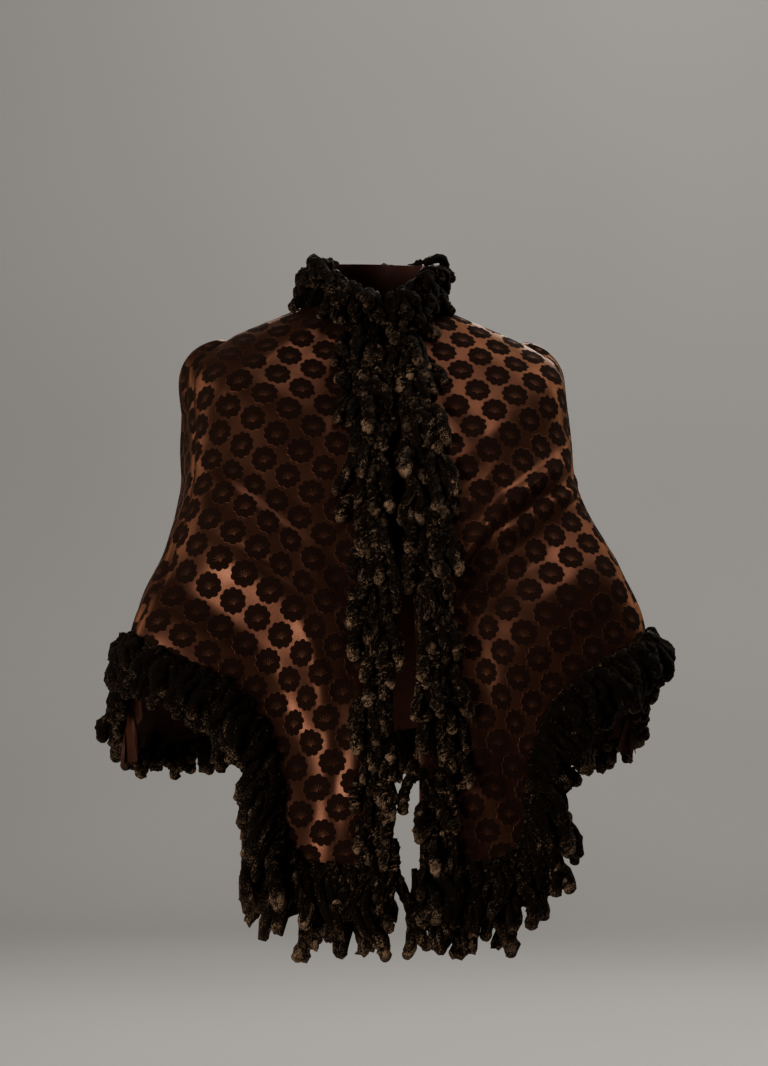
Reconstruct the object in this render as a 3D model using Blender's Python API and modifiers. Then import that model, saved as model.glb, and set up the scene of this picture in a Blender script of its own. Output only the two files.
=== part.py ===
"""Visite mantle: a short cape-like outdoor garment, open down the front, in its worn form.

The cloth hangs from the neck and shoulders over two bent arms. One draped surface gives every
panel: rings of the drape are listed from the neck down, each panel is a patch of that surface
between its seams, and the fringe is sewn to strips that follow the panels' own points.
Metres, +Z up, the wearer faces -Y, and the origin is the middle of the neck seam.
"""
import math
from collections import namedtuple

import bmesh
import bpy
from mathutils import Vector

# Driving dimensions
CLOTH = 0.0018            # wall of the figured velvet
LINING = 0.0010           # wall of the satin sleeve lining
SEAM_GAP = 0.0003         # room left between two pieces that meet
SEAM_TUCK = 0.0005        # how far each panel's edge is drawn back from its seam line
FRONT_PARTING = 0.0095    # each front's edge from the middle
HEM_PARTING = 0.0140      # the same at the hem, where the fronts fall open
COLLAR_SEAT = 0.0019      # collar's lower edge above the neck seam
SLEEVE_PUFF = 0.0090      # how far the sleeve head stands proud
GATHER_DEPTH = 0.0022     # ridges of the gathered sleeve head
GATHER_COUNT = 4
PUFF_REACH = 0.22         # share of the sleeve's length that the puff takes up
PUFF_ROUND = 0.8          # how full the puff stays towards the seams
GATHER_REACH = 0.40       # and that the gathers fade out over
BRAID = 0.0018            # thickness of the fringe's heading
BRAID_LIFT = 0.0009       # heading above the cloth

# The drape, ring by ring from the neck seam down
Ring = namedtuple("Ring", "half_width y_front y_wide y_back z_front z_side z_back square_front square_back")
DRAPE = (
    Ring(0.058, -0.060, 0.000, 0.054, -0.010, 0.018, 0.026, 2.0, 2.0),      # neck seam
    Ring(0.104, -0.092, 0.000, 0.084, -0.062, 0.000, 0.002, 2.0, 2.0),      # collar bone
    Ring(0.162, -0.120, -0.008, 0.114, -0.118, -0.026, -0.052, 2.2, 2.1),   # shoulder end
    Ring(0.202, -0.141, -0.014, 0.124, -0.166, -0.058, -0.112, 2.5, 2.2),   # sleeve head
    Ring(0.209, -0.156, -0.028, 0.122, -0.210, -0.130, -0.176, 2.7, 2.3),   # upper arm
    Ring(0.213, -0.167, -0.055, 0.112, -0.244, -0.188, -0.234, 2.8, 2.4),   # chest
    Ring(0.235, -0.178, -0.092, 0.106, -0.290, -0.250, -0.290, 3.0, 2.3),   # waist
    Ring(0.268, -0.190, -0.124, 0.112, -0.345, -0.325, -0.345, 3.1, 2.2),   # forearm
    Ring(0.284, -0.199, -0.115, 0.146, -0.440, -0.440, -0.440, 2.7, 2.1),   # hip
    Ring(0.292, -0.204, -0.090, 0.190, -0.630, -0.630, -0.630, 2.4, 2.1),   # below the hem
)
SHOULDER_ROW = 2.0        # ring where the shoulder seam ends
SHOULDER_ANGLE = 92.0     # shoulder seam, degrees round from the front

# Seams and lower edges, as places on the drape: degrees round from the front, and height
Place = namedtuple("Place", "angle z")
SLEEVE_SEAM = (
    Place(83, -0.0560), Place(78, -0.110), Place(76, -0.165), Place(79, -0.215), Place(83, -0.275),
    Place(86, -0.348),
)
SIDE_BACK_SEAM = (
    Place(118, -0.095), Place(134, -0.150), Place(147, -0.210), Place(156, -0.290), Place(154, -0.370),
    Place(150, -0.450),
)
FRONT_HEM = (
    Place(27, -0.587), Place(44, -0.583), Place(51, -0.566), Place(54.5, -0.530), Place(57, -0.493),
    Place(60, -0.462), Place(63.5, -0.434), Place(68, -0.409), Place(73, -0.388), Place(79, -0.367),
)
SLEEVE_HEM = (
    Place(92, -0.366), Place(99, -0.402), Place(107, -0.436), Place(118, -0.452), Place(134, -0.454),
)
BACK_HEM = (Place(162, -0.459), Place(172, -0.466))
FRONT_HEM_Z = -0.582
BACK_HEM_Z = -0.468
SLEEVE_TOP_FRONT = 86.0   # sleeve head between these two angles at the shoulder end
SLEEVE_TOP_BACK = 99.0

# Largest folds: soft ridges, or troughs where the height is negative, between two places
Fold = namedtuple("Fold", "side angle_a z_a angle_b z_b width height")
FOLDS = (
    Fold(-1, 72, -0.170, 36, -0.430, 0.040, 0.011),
    Fold(-1, 80, -0.270, 54, -0.440, 0.022, -0.009),
    Fold(-1, 30, -0.400, 34, -0.590, 0.024, 0.006),
    Fold(1, 70, -0.145, 28, -0.300, 0.015, 0.008),
    Fold(1, 76, -0.185, 40, -0.370, 0.020, -0.007),
    Fold(1, 80, -0.240, 52, -0.420, 0.024, 0.008),
    Fold(1, 32, -0.380, 40, -0.590, 0.022, -0.006),
    Fold(-1, 106, -0.180, 110, -0.450, 0.020, -0.007),
    Fold(-1, 124, -0.230, 126, -0.470, 0.020, 0.009),
    Fold(-1, 140, -0.240, 140, -0.470, 0.018, -0.007),
    Fold(1, 108, -0.180, 106, -0.450, 0.020, -0.006),
    Fold(1, 122, -0.220, 124, -0.470, 0.020, 0.008),
    Fold(1, 141, -0.250, 138, -0.470, 0.018, -0.008),
    Fold(-1, 166, -0.320, 164, -0.490, 0.024, 0.006),
    Fold(1, 167, -0.320, 165, -0.490, 0.024, 0.007),
)
FOLD_END = 0.12           # how much of a fold is left where it ends
FOLD_RADIUS = 0.22        # turns degrees round the drape into a width for the folds

# Collar: a standing band, low in front
CollarEdge = namedtuple("CollarEdge", "half_width y_front y_back z_front z_side z_back")
COLLAR_FOOT = CollarEdge(0.0585, -0.0605, 0.0545, -0.010, 0.018, 0.026)
COLLAR_TOP = CollarEdge(0.0545, -0.0580, 0.0500, 0.024, 0.062, 0.066)
COLLAR_OPENING = 9.0      # degrees each side of the front

# Patches: columns along each run of a panel's top edge, and rows down its sides
SEAM_ROWS = 14
ARMHOLE_ROWS = 2
ROWS = SEAM_ROWS + ARMHOLE_ROWS
NECK_COLUMNS = 7
SHOULDER_COLUMNS = 7
SLEEVE_COLUMNS = 16
COLLAR_COLUMNS = 28
COLLAR_ROWS = 3
TOP_EDGE_FADE = 3.0       # how fast a panel forgets the shape of its top edge
LINING_TOP = 6            # sleeve row where the lining begins to show
LINING_DROP = 0.014       # how far it hangs below the sleeve's edge
LINING_EDGE = 0.002       # and at its own two ends

# Fringe: strands to each step of the panel's edge, steps left bare at the start, the heading's width,
# and the strands' length, half thickness, lift off the cloth and lean
Trim = namedtuple("Trim", "strands bare braid length half_thick lift lean")
FRONT_TRIM = Trim(2, 2, 0.016, 0.068, 0.0042, 0.010, 0.85)
HEM_TRIM = Trim(2, 2, 0.012, 0.084, 0.0042, 0.008, 0.80)
SLEEVE_TRIM = Trim(1, 0, 0.012, 0.070, 0.0042, 0.008, 1.40)
BACK_TRIM = Trim(1, 0, 0.012, 0.072, 0.0042, 0.008, 0.0)
COLLAR_TRIM = Trim(1, 0, 0.010, 0.031, 0.0038, 0.006, 0.0)
END_BARE = 0.12           # share of a step left bare at each end of a heading
FRONT_INSET = 0.002       # headings from the cloth's edge
HEM_INSET = 0.001
CORNER_SPLAY = 1.10       # extra lean where the lower edge turns from front to sleeve
CORNER_STRANDS = 4.0      # strands over which it fades
STRAND_LENGTHS = (1.00, 0.88, 0.95, 0.84)   # shares of the full length, in turn
LAST_STRAND_LIFT = 0.022  # extra lift where the front fringe passes over the hem's
LAST_STRANDS = 0.18       # share of the front fringe that it grows over
SLEEVE_BACK_LEAN = 0.15   # how far the sleeve's strands lean back for each step out
COLLAR_LEVELS = (0.06, 0.34, 0.62, 0.90)       # rows of the collar's heading, from its top edge down
COLLAR_STRAND_ROWS = ((0, 0.55), (2, -0.30))   # row that a strand starts from, and its rise
COLLAR_ROOT = 0.085       # shares of a collar strand's length: its first step out,
COLLAR_REACH = 0.85       # how far out its tip is,
COLLAR_DROOP = 0.25       # and how far its tip bends down
STRAND_STEPS = ((0.16, 0.75, 0.85), (0.55, 1.00, 1.00), (1.00, 0.90, 0.62))  # along, lift, thickness

Finish = namedtuple("Finish", "colour roughness sheen")
VELVET = Finish((0.050, 0.018, 0.010, 1.0), 0.42, 0.4)
SATIN = Finish((0.085, 0.032, 0.020, 1.0), 0.32, 0.2)
CHENILLE = Finish((0.016, 0.009, 0.006, 1.0), 0.85, 0.6)


def clear_scene():
    """Start from an empty file."""
    for old in list(bpy.data.objects):
        bpy.data.objects.remove(old, do_unlink=True)


def make_material(name, finish):
    """One Principled material for a cloth or trim."""
    material = bpy.data.materials.new(name)
    material.use_nodes = True
    shader = material.node_tree.nodes["Principled BSDF"]
    shader.inputs["Base Color"].default_value = finish.colour
    shader.inputs["Roughness"].default_value = finish.roughness
    shader.inputs["Metallic"].default_value = 0.0
    shader.inputs["Sheen Weight"].default_value = finish.sheen
    material.diffuse_color = finish.colour
    return material


def curve_through(values, position):
    """Value of a smooth curve through evenly spaced values, at a position counted in steps."""
    last = len(values) - 1
    step = min(int(position), last - 1)
    part = position - step
    before = values[max(step - 1, 0)]
    start = values[step]
    end = values[step + 1]
    after = values[min(step + 2, last)]
    slope_start = 0.5 * (end - before)
    slope_end = 0.5 * (after - start)
    cubic = 2 * (start - end) + slope_start + slope_end
    square = 3 * (end - start) - 2 * slope_start - slope_end
    return ((cubic * part + square) * part + slope_start) * part + start


def ring_at(row):
    """Sizes of the drape's ring at a row, which may lie between two listed rings."""
    return Ring(*(curve_through(column, row) for column in zip(*DRAPE)))


def drape_point(angle, row):
    """Point of the smooth drape on the wearer's left half."""
    ring = ring_at(row)
    across = math.sin(math.radians(angle))
    ahead = math.cos(math.radians(angle))
    front = ahead >= 0
    depth = ring.y_wide - ring.y_front if front else ring.y_back - ring.y_wide
    power = ring.square_front if front else ring.square_back
    reach = ((across / ring.half_width) ** power + (abs(ahead) / depth) ** power) ** (-1 / power)
    z_end = ring.z_front if front else ring.z_back
    z = ring.z_side + (z_end - ring.z_side) * ahead ** 2
    return Vector((reach * across, ring.y_wide - reach * ahead, z))


def row_at(angle, z):
    """Row where the drape at this angle passes a height."""
    high, low = 0.0, float(len(DRAPE) - 1)
    for _ in range(30):
        middle = 0.5 * (high + low)
        if drape_point(angle, middle).z > z:
            high = middle
        else:
            low = middle
    return high


def fold_height(side, angle, z):
    """Sum of the folds at a place, each fading to nothing at its ends."""
    total = 0.0
    here = Vector((math.radians(angle) * FOLD_RADIUS, z))
    for fold in FOLDS:
        if fold.side != side:
            continue
        start = Vector((math.radians(fold.angle_a) * FOLD_RADIUS, fold.z_a))
        end = Vector((math.radians(fold.angle_b) * FOLD_RADIUS, fold.z_b))
        run = end - start
        along = (here - start).dot(run) / run.length_squared
        clamped = min(max(along, 0.0), 1.0)
        away = (here - start - run * clamped).length / fold.width
        fade = math.sin(math.pi * min(max(FOLD_END + (1 - 2 * FOLD_END) * along, 0.0), 1.0))
        total += fold.height * math.exp(-away * away) * fade
    return total


def outward(angle, row):
    """Unit normal of the smooth drape."""
    step = 0.02
    low = max(row - step, 0.0)
    high = min(row + step, len(DRAPE) - 1.0)
    round_it = drape_point(min(angle + 0.5, 180.0), row) - drape_point(max(angle - 0.5, 0.0), row)
    down_it = drape_point(angle, high) - drape_point(angle, low)
    return down_it.cross(round_it).normalized()


def place_row(place):
    """A listed place as an (angle, row) pair on the drape."""
    return (place.angle, row_at(place.angle, place.z))


def run_along(places, count):
    """Evenly spaced (angle, row) pairs along a smooth line through some, count steps long."""
    fine = 12
    angles = [p[0] for p in places]
    rows = [p[1] for p in places]
    total = (len(places) - 1) * fine
    line = [(curve_through(angles, k / fine), curve_through(rows, k / fine)) for k in range(total + 1)]
    points = [drape_point(*pair) for pair in line]
    reached = [0.0]
    for before, after in zip(points, points[1:]):
        reached.append(reached[-1] + (after - before).length)
    picked = []
    for k in range(count + 1):
        goal = reached[-1] * k / count
        index = 0
        while index < total - 1 and reached[index + 1] < goal:
            index += 1
        share = (goal - reached[index]) / max(reached[index + 1] - reached[index], 1e-9)
        share = min(max(share, 0.0), 1.0)
        picked.append(tuple(a + (b - a) * share for a, b in zip(line[index], line[index + 1])))
    return picked


def join_runs(*runs):
    """Several runs end to end, their shared ends once."""
    joined = list(runs[0])
    for run in runs[1:]:
        joined += run[1:]
    return joined


def patch(top, bottom, left, right):
    """Grid of (angle, row) pairs between four edges, blended from all of them."""
    columns = len(top) - 1
    rows = len(left) - 1
    grid = []
    for i in range(columns + 1):
        a = i / columns
        line = []
        for j in range(rows + 1):
            pull = (1 - j / rows) ** TOP_EDGE_FADE
            pair = []
            for k in range(2):
                sides = (1 - a) * left[j][k] + a * right[j][k]
                upper = top[i][k] - (1 - a) * top[0][k] - a * top[-1][k]
                lower = bottom[i][k] - (1 - a) * bottom[0][k] - a * bottom[-1][k]
                pair.append(sides + pull * upper + (1 - pull) * lower)
            line.append(tuple(pair))
        grid.append(line)
    return grid


def front_angle(row, z_share):
    """Angle of the front edge, so that it keeps its parting from the middle."""
    parting = FRONT_PARTING + (HEM_PARTING - FRONT_PARTING) * z_share ** 2
    ring = ring_at(row)
    return math.degrees(math.atan2(parting, ring.y_wide - ring.y_front))


def front_edge():
    """Front edge from the neck seam to the hem."""
    foot = row_at(3.0, FRONT_HEM_Z)
    pairs = []
    for j in range(ROWS + 1):
        row = foot * j / ROWS
        pairs.append((front_angle(row, j / ROWS), row))
    return run_along(pairs, ROWS)


def seam_edges():
    """The two long seams of a sleeve, from the shoulder end to the lower edge."""
    forward = [(SLEEVE_TOP_FRONT, SHOULDER_ROW)] + [place_row(p) for p in SLEEVE_SEAM]
    behind = [(SLEEVE_TOP_BACK, SHOULDER_ROW)] + [place_row(p) for p in SIDE_BACK_SEAM]
    return run_along(forward, SEAM_ROWS), run_along(behind, SEAM_ROWS)


def shoulder_run(count):
    """Shoulder seam from the neck out to the shoulder end."""
    steps = [(SHOULDER_ANGLE, SHOULDER_ROW * k / 4) for k in range(5)]
    return run_along(steps, count)


def neck_run(start, end, count):
    """Neck seam between two angles."""
    return run_along([(start + (end - start) * k / 4, 0.0) for k in range(5)], count)


def armhole_run(start, end, count):
    """Short run round the shoulder end."""
    return run_along([(start, SHOULDER_ROW), (end, SHOULDER_ROW)], count)


def panel_grids():
    """Grid of places for the front, the sleeve and the back of one half."""
    edge = front_edge()
    forward, behind = seam_edges()
    shoulder = shoulder_run(SHOULDER_COLUMNS)
    front_top = join_runs(neck_run(edge[0][0], SHOULDER_ANGLE, NECK_COLUMNS), shoulder)
    front_side = join_runs(armhole_run(SHOULDER_ANGLE, SLEEVE_TOP_FRONT, ARMHOLE_ROWS), forward)
    hem = [edge[-1]] + [place_row(p) for p in FRONT_HEM] + [forward[-1]]
    front = patch(front_top, run_along(hem, len(front_top) - 1), edge, front_side)

    sleeve_top = armhole_run(SLEEVE_TOP_FRONT, SLEEVE_TOP_BACK, SLEEVE_COLUMNS)
    hem = [forward[-1]] + [place_row(p) for p in SLEEVE_HEM] + [behind[-1]]
    sleeve = patch(sleeve_top, run_along(hem, SLEEVE_COLUMNS), forward, behind)

    middle = [(180.0, row_at(180.0, BACK_HEM_Z) * k / ROWS) for k in range(ROWS + 1)]
    middle = run_along(middle, ROWS)
    back_top = join_runs(shoulder[::-1], neck_run(SHOULDER_ANGLE, 180.0, NECK_COLUMNS))
    back_side = join_runs(armhole_run(SHOULDER_ANGLE, SLEEVE_TOP_BACK, ARMHOLE_ROWS), behind)
    hem = [behind[-1]] + [place_row(p) for p in BACK_HEM] + [middle[-1]]
    back = patch(back_top, run_along(hem, len(back_top) - 1), back_side, middle)
    return {"front": front, "sleeve": sleeve, "back": back}


def sleeve_swell(a, b):
    """How far the sleeve head stands out, with its gathers, fading down the arm."""
    head = math.sin(math.pi * min(b / PUFF_REACH, 1.0)) * SLEEVE_PUFF
    fade = math.sin(math.pi * min(b / GATHER_REACH, 1.0))
    edge = math.sin(math.pi * a)
    return head * edge ** PUFF_ROUND + GATHER_DEPTH * fade * edge * math.cos(2 * math.pi * GATHER_COUNT * a)


def lay_panel(kind, grid, side):
    """Points of a panel's inner face, its edges drawn back from their seam lines."""
    columns = len(grid) - 1
    rows = len(grid[0]) - 1
    points = []
    for i, line in enumerate(grid):
        points.append([])
        for j, (angle, row) in enumerate(line):
            base = drape_point(angle, row)
            lift = fold_height(side, angle, base.z)
            if kind == "sleeve":
                lift += sleeve_swell(i / columns, j / rows)
            point = base + outward(angle, row) * lift
            points[-1].append(Vector((side * point.x, point.y, point.z)))
    for i in range(columns + 1):
        points[i][0] = drawn_back(points[i][0], points[i][1])
    for j in range(rows + 1):
        points[0][j] = drawn_back(points[0][j], points[1][j])
        points[-1][j] = drawn_back(points[-1][j], points[-2][j])
    return points


def drawn_back(edge, inner):
    """An edge point moved a little towards the panel's inside."""
    return edge + (inner - edge).normalized() * SEAM_TUCK


def face_normals(points, side):
    """Outward normal at each point of a grid, from its neighbours."""
    columns = len(points) - 1
    rows = len(points[0]) - 1
    normals = []
    for i in range(columns + 1):
        normals.append([])
        for j in range(rows + 1):
            run = points[min(i + 1, columns)][j] - points[max(i - 1, 0)][j]
            fall = points[i][min(j + 1, rows)] - points[i][max(j - 1, 0)]
            normals[-1].append(fall.cross(run).normalized() * side)
    return normals


def grid_mesh(points):
    """Open grid of faces through rows of points."""
    columns = len(points) - 1
    rows = len(points[0]) - 1
    mesh = bmesh.new()
    bmesh.ops.create_grid(mesh, x_segments=columns, y_segments=rows, size=0.5)
    for vert in mesh.verts:
        i = round((vert.co.x + 0.5) * columns)
        j = round((0.5 - vert.co.y) * rows)
        vert.co = points[i][j]
    return mesh


def face_out(mesh, normals):
    """Turn an open grid so that its faces look the way the normals do."""
    middle = normals[len(normals) // 2][len(normals[0]) // 2]
    mesh.normal_update()
    spread = sum((face.normal * face.calc_area() for face in mesh.faces), Vector())
    if spread.dot(middle) < 0:
        bmesh.ops.reverse_faces(mesh, faces=mesh.faces[:])


def add_object(name, mesh, material, collection):
    """Named object from a finished mesh."""
    data = bpy.data.meshes.new(name)
    mesh.to_mesh(data)
    mesh.free()
    data.materials.append(material)
    data.shade_smooth()
    made = bpy.data.objects.new(name, data)
    collection.objects.link(made)
    return made


def add_shell(name, points, normals, thickness, material, collection):
    """A wall of cloth on an open grid of points."""
    mesh = grid_mesh(points)
    face_out(mesh, normals)
    made = add_object(name, mesh, material, collection)
    wall = made.modifiers.new("wall", "SOLIDIFY")
    wall.thickness = thickness
    wall.offset = 1.0
    return made


def collar_points():
    """Standing band from one front end round the back to the other."""
    points = []
    for i in range(COLLAR_COLUMNS + 1):
        angle = COLLAR_OPENING + (360 - 2 * COLLAR_OPENING) * i / COLLAR_COLUMNS
        across = math.sin(math.radians(angle))
        ahead = math.cos(math.radians(angle))
        line = []
        for j in range(COLLAR_ROWS + 1):
            share = 1 - j / COLLAR_ROWS
            edge = CollarEdge(*(a + (b - a) * share for a, b in zip(COLLAR_FOOT, COLLAR_TOP)))
            depth = -edge.y_front if ahead >= 0 else edge.y_back
            z_end = edge.z_front if ahead >= 0 else edge.z_back
            z = edge.z_side + (z_end - edge.z_side) * ahead ** 2 + COLLAR_SEAT * (1 - share)
            line.append(Vector((edge.half_width * across, -depth * ahead, z)))
        points.append(line)
    return points


def sample(line, share):
    """Point at a share of the way along a list of points, by its steps."""
    position = min(max(share, 0.0), 1.0) * (len(line) - 1)
    step = min(int(position), len(line) - 2)
    return line[step].lerp(line[step + 1], position - step)


def strip_along(edge, inner, normals, trim, inset):
    """Two rows of points for a heading that lies on a panel along one of its edges."""
    lift = CLOTH + BRAID_LIFT
    steps = (len(edge) - 1) * trim.strands
    rows = []
    facing = []
    for k in range(trim.bare, steps + 1):
        share = min(max(k / steps, END_BARE / steps), 1 - END_BARE / steps)
        at_edge = sample(edge, share)
        inward = (sample(inner, share) - at_edge).normalized()
        normal = sample(normals, share).normalized()
        near = at_edge + inward * inset + normal * lift
        rows.append([near + inward * trim.braid, near])
        facing.append(normal)
    return rows, facing


def grow_strand(mesh, face, steps, along):
    """Pull one strand out of a heading's face through the listed centres."""
    centre = face.calc_center_median()
    first_axis = along.normalized()
    face_normal = face.normal.copy()
    second_axis = face_normal.cross(first_axis).normalized()
    before = centre
    for index, (point, half) in enumerate(steps):
        following = steps[min(index + 1, len(steps) - 1)][0]
        tangent = (following - before).normalized()
        old = face.calc_center_median()
        signs = []
        for vert in face.verts:
            offset = vert.co - old
            one = math.copysign(1, offset.dot(first_axis))
            two = math.copysign(1, offset.dot(second_axis))
            signs.append((one, two))
        face = bmesh.ops.extrude_discrete_faces(mesh, faces=[face])["faces"][0]
        first_axis = (first_axis - tangent * first_axis.dot(tangent)).normalized()
        second_axis = tangent.cross(first_axis).normalized()
        for vert, (one, two) in zip(face.verts, signs):
            vert.co = point + first_axis * one * half + second_axis * two * half
        before = point


def add_fringe(name, rows, facing, strands, material, collection):
    """Heading with its strands: rows of points across the strip, and each strand's own steps."""
    mesh = grid_mesh(rows)
    face_out(mesh, [facing])
    base = mesh.faces[:]
    raised = bmesh.ops.extrude_face_region(mesh, geom=base, use_keep_orig=True)["geom"]
    outer = [part for part in raised if isinstance(part, bmesh.types.BMFace)]
    moved = [part for part in raised if isinstance(part, bmesh.types.BMVert)]
    for vert in moved:
        nearest = min(range(len(rows)), key=lambda i: min((p - vert.co).length for p in rows[i]))
        vert.co += facing[nearest] * BRAID
    mesh.normal_update()
    for strand in strands:
        root = strand["root"]
        face = min(outer, key=lambda f: (f.calc_center_median() - root).length)
        outer.remove(face)
        grow_strand(mesh, face, strand["steps"], strand["along"])
    bmesh.ops.recalc_face_normals(mesh, faces=mesh.faces[:])
    return add_object(name, mesh, material, collection)


def hanging_strands(rows, facing, trim, lean_way, last_lift=0.0):
    """Steps of the strands that hang from a heading, leaning the way that lean_way gives."""
    strands = []
    count = len(rows) - 1
    for k in range(count):
        corner = (rows[k][0], rows[k][1], rows[k + 1][0], rows[k + 1][1])
        root = sum(corner, Vector()) / 4
        normal = (facing[k] + facing[k + 1]).normalized()
        along = (rows[k + 1][0] - rows[k][0]).normalized()
        fall = Vector((0, 0, -1)) + lean_way(k) * trim.lean
        fall = (fall - normal * fall.dot(normal)).normalized()
        length = trim.length * STRAND_LENGTHS[k % len(STRAND_LENGTHS)]
        rise = trim.lift + last_lift * max(0.0, 1 - (1 - k / count) / LAST_STRANDS)
        start = root + normal * BRAID
        steps = []
        for share, lifted, thick in STRAND_STEPS:
            centre = start + normal * rise * lifted + fall * length * share
            steps.append((centre, trim.half_thick * thick))
        strands.append({"root": start, "steps": steps, "along": along})
    return strands


def edge_column(points, index):
    """One line of a grid down the panel."""
    return [point.copy() for point in points[index]]


def edge_row(points, index):
    """One line of a grid across the panel."""
    return [line[index].copy() for line in points]


def add_front_fringe(panel, normals, side, material, collection):
    """Fringe down a front edge, its strands falling over the front."""
    edge = edge_column(panel, 0)
    inner = edge_column(panel, 1)
    rows, facing = strip_along(edge, inner, edge_column(normals, 0), FRONT_TRIM, FRONT_INSET)
    away = Vector((side, 0, 0))
    strands = hanging_strands(rows, facing, FRONT_TRIM, lambda k: away, LAST_STRAND_LIFT)
    return add_fringe("front_fringe_" + side_name(side), rows, facing, strands, material, collection)


def steepness(rows, k):
    """How steeply a heading climbs at one of its steps, from 0 on the level to 1."""
    run = rows[k + 1][1] - rows[k][1]
    return abs(run.z) / run.length


def add_hem_fringe(panel, normals, side, material, collection):
    """Fringe along a front's lower edge, from beside the front fringe up to the sleeve."""
    inner = edge_row(panel, -2)
    rows, facing = strip_along(edge_row(panel, -1), inner, edge_row(normals, -1), HEM_TRIM, HEM_INSET)

    def lean(k):
        corner = CORNER_SPLAY * math.exp((k - len(rows) + 2) / CORNER_STRANDS)
        return Vector((side, 0, 0)) * (steepness(rows, k) + corner)

    strands = hanging_strands(rows, facing, HEM_TRIM, lean)
    return add_fringe("hem_fringe_" + side_name(side), rows, facing, strands, material, collection)


def add_sleeve_fringe(panel, normals, side, material, collection):
    """Fringe along a sleeve's lower edge."""
    inner = edge_row(panel, -2)
    rows, facing = strip_along(edge_row(panel, -1), inner, edge_row(normals, -1), SLEEVE_TRIM, HEM_INSET)

    def lean(k):
        corner = CORNER_SPLAY * math.exp(-k / CORNER_STRANDS)
        return Vector((side, SLEEVE_BACK_LEAN, 0)) * (steepness(rows, k) + corner)

    strands = hanging_strands(rows, facing, SLEEVE_TRIM, lean)
    return add_fringe("sleeve_fringe_" + side_name(side), rows, facing, strands, material, collection)


def across_middle(grids, index):
    """One line across both halves of the back, meeting at the middle."""
    one = edge_row(grids[0], index)
    other = edge_row(grids[1], index)
    return one[:-1] + [(one[-1] + other[-1]) / 2] + other[-2::-1]


def add_back_fringe(panels, normals, material, collection):
    """Fringe along the back's lower edge, over both halves."""
    edge = across_middle(panels, -1)
    inner = across_middle(panels, -2)
    faces = across_middle(normals, -1)
    rows, facing = strip_along(edge, inner, faces, BACK_TRIM, HEM_INSET)
    strands = hanging_strands(rows, facing, BACK_TRIM, lambda k: Vector())
    return add_fringe("back_fringe", rows, facing, strands, material, collection)


def add_collar_fringe(points, normals, material, collection):
    """Two rows of strands on the collar: one standing out at the top, one drooping over the shoulders."""
    top = edge_row(points, 0)
    foot = edge_row(points, -1)
    faces = edge_row(normals, 1)
    rows = []
    facing = []
    for upper, lower, normal in zip(top, foot, faces):
        rows.append([upper.lerp(lower, level) + normal * (CLOTH + BRAID_LIFT) for level in COLLAR_LEVELS])
        facing.append(normal)
    strands = []
    for k in range(COLLAR_COLUMNS):
        normal = (facing[k] + facing[k + 1]).normalized()
        along = (rows[k + 1][0] - rows[k][0]).normalized()
        for upper, rise in COLLAR_STRAND_ROWS:
            corner = (rows[k][upper], rows[k][upper + 1], rows[k + 1][upper], rows[k + 1][upper + 1])
            start = sum(corner, Vector()) / 4 + normal * BRAID
            steps = []
            for share, _, thick in STRAND_STEPS:
                reach = COLLAR_TRIM.length * (COLLAR_ROOT + (COLLAR_REACH - COLLAR_ROOT) * share)
                droop = COLLAR_TRIM.length * (rise * share - COLLAR_DROOP * share ** 2)
                centre = start + normal * reach + Vector((0, 0, droop))
                steps.append((centre, COLLAR_TRIM.half_thick * thick))
            strands.append({"root": start, "steps": steps, "along": along})
    return add_fringe("collar_fringe", rows, facing, strands, material, collection)


def lining_points(points, normals):
    """Lining inside the lower sleeve, which hangs a little below the sleeve's edge."""
    rows = len(points[0]) - 1
    columns = len(points) - 1
    room = LINING + SEAM_GAP
    lines = []
    for i in range(1, columns):
        line = []
        for j in range(LINING_TOP, rows + 1):
            line.append(points[i][j] - normals[i][j] * room)
        fall = (line[-1] - line[-2]).normalized()
        drop = LINING_DROP * math.sin(math.pi * i / columns)
        line.append(line[-1] + fall * (LINING_EDGE + drop))
        lines.append(line)
    return lines


def side_name(side):
    """The wearer's side."""
    return "left" if side > 0 else "right"


def build():
    """Make every piece of the mantle."""
    clear_scene()
    collection = bpy.data.collections.new("visite_mantle")
    bpy.context.scene.collection.children.link(collection)
    velvet = make_material("figured_velvet", VELVET)
    satin = make_material("lining_satin", SATIN)
    chenille = make_material("chenille", CHENILLE)
    grids = panel_grids()
    backs = []
    back_normals = []
    for side in (-1, 1):
        name = side_name(side)
        panels = {}
        normals = {}
        for kind, grid in grids.items():
            panels[kind] = lay_panel(kind, grid, side)
            normals[kind] = face_normals(panels[kind], side)
            add_shell(kind + "_" + name, panels[kind], normals[kind], CLOTH, velvet, collection)
        lining = lining_points(panels["sleeve"], normals["sleeve"])
        add_shell("sleeve_lining_" + name, lining, face_normals(lining, side), LINING, satin, collection)
        add_front_fringe(panels["front"], normals["front"], side, chenille, collection)
        add_hem_fringe(panels["front"], normals["front"], side, chenille, collection)
        add_sleeve_fringe(panels["sleeve"], normals["sleeve"], side, chenille, collection)
        backs.append(panels["back"])
        back_normals.append(normals["back"])
    add_back_fringe(backs, back_normals, chenille, collection)
    collar = collar_points()
    facing = face_normals(collar, 1)
    add_shell("collar", collar, facing, CLOTH, velvet, collection)
    add_collar_fringe(collar, facing, chenille, collection)


build()
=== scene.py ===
"""Looks of the visite mantle: figured velvet on a satin ground, satin lining and chenille fringe."""

import math
from collections import namedtuple

import bpy
import numpy as np
from bpy.props import FloatProperty, FloatVectorProperty, IntProperty, PointerProperty
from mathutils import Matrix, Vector
from mathutils.bvhtree import BVHTree


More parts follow.
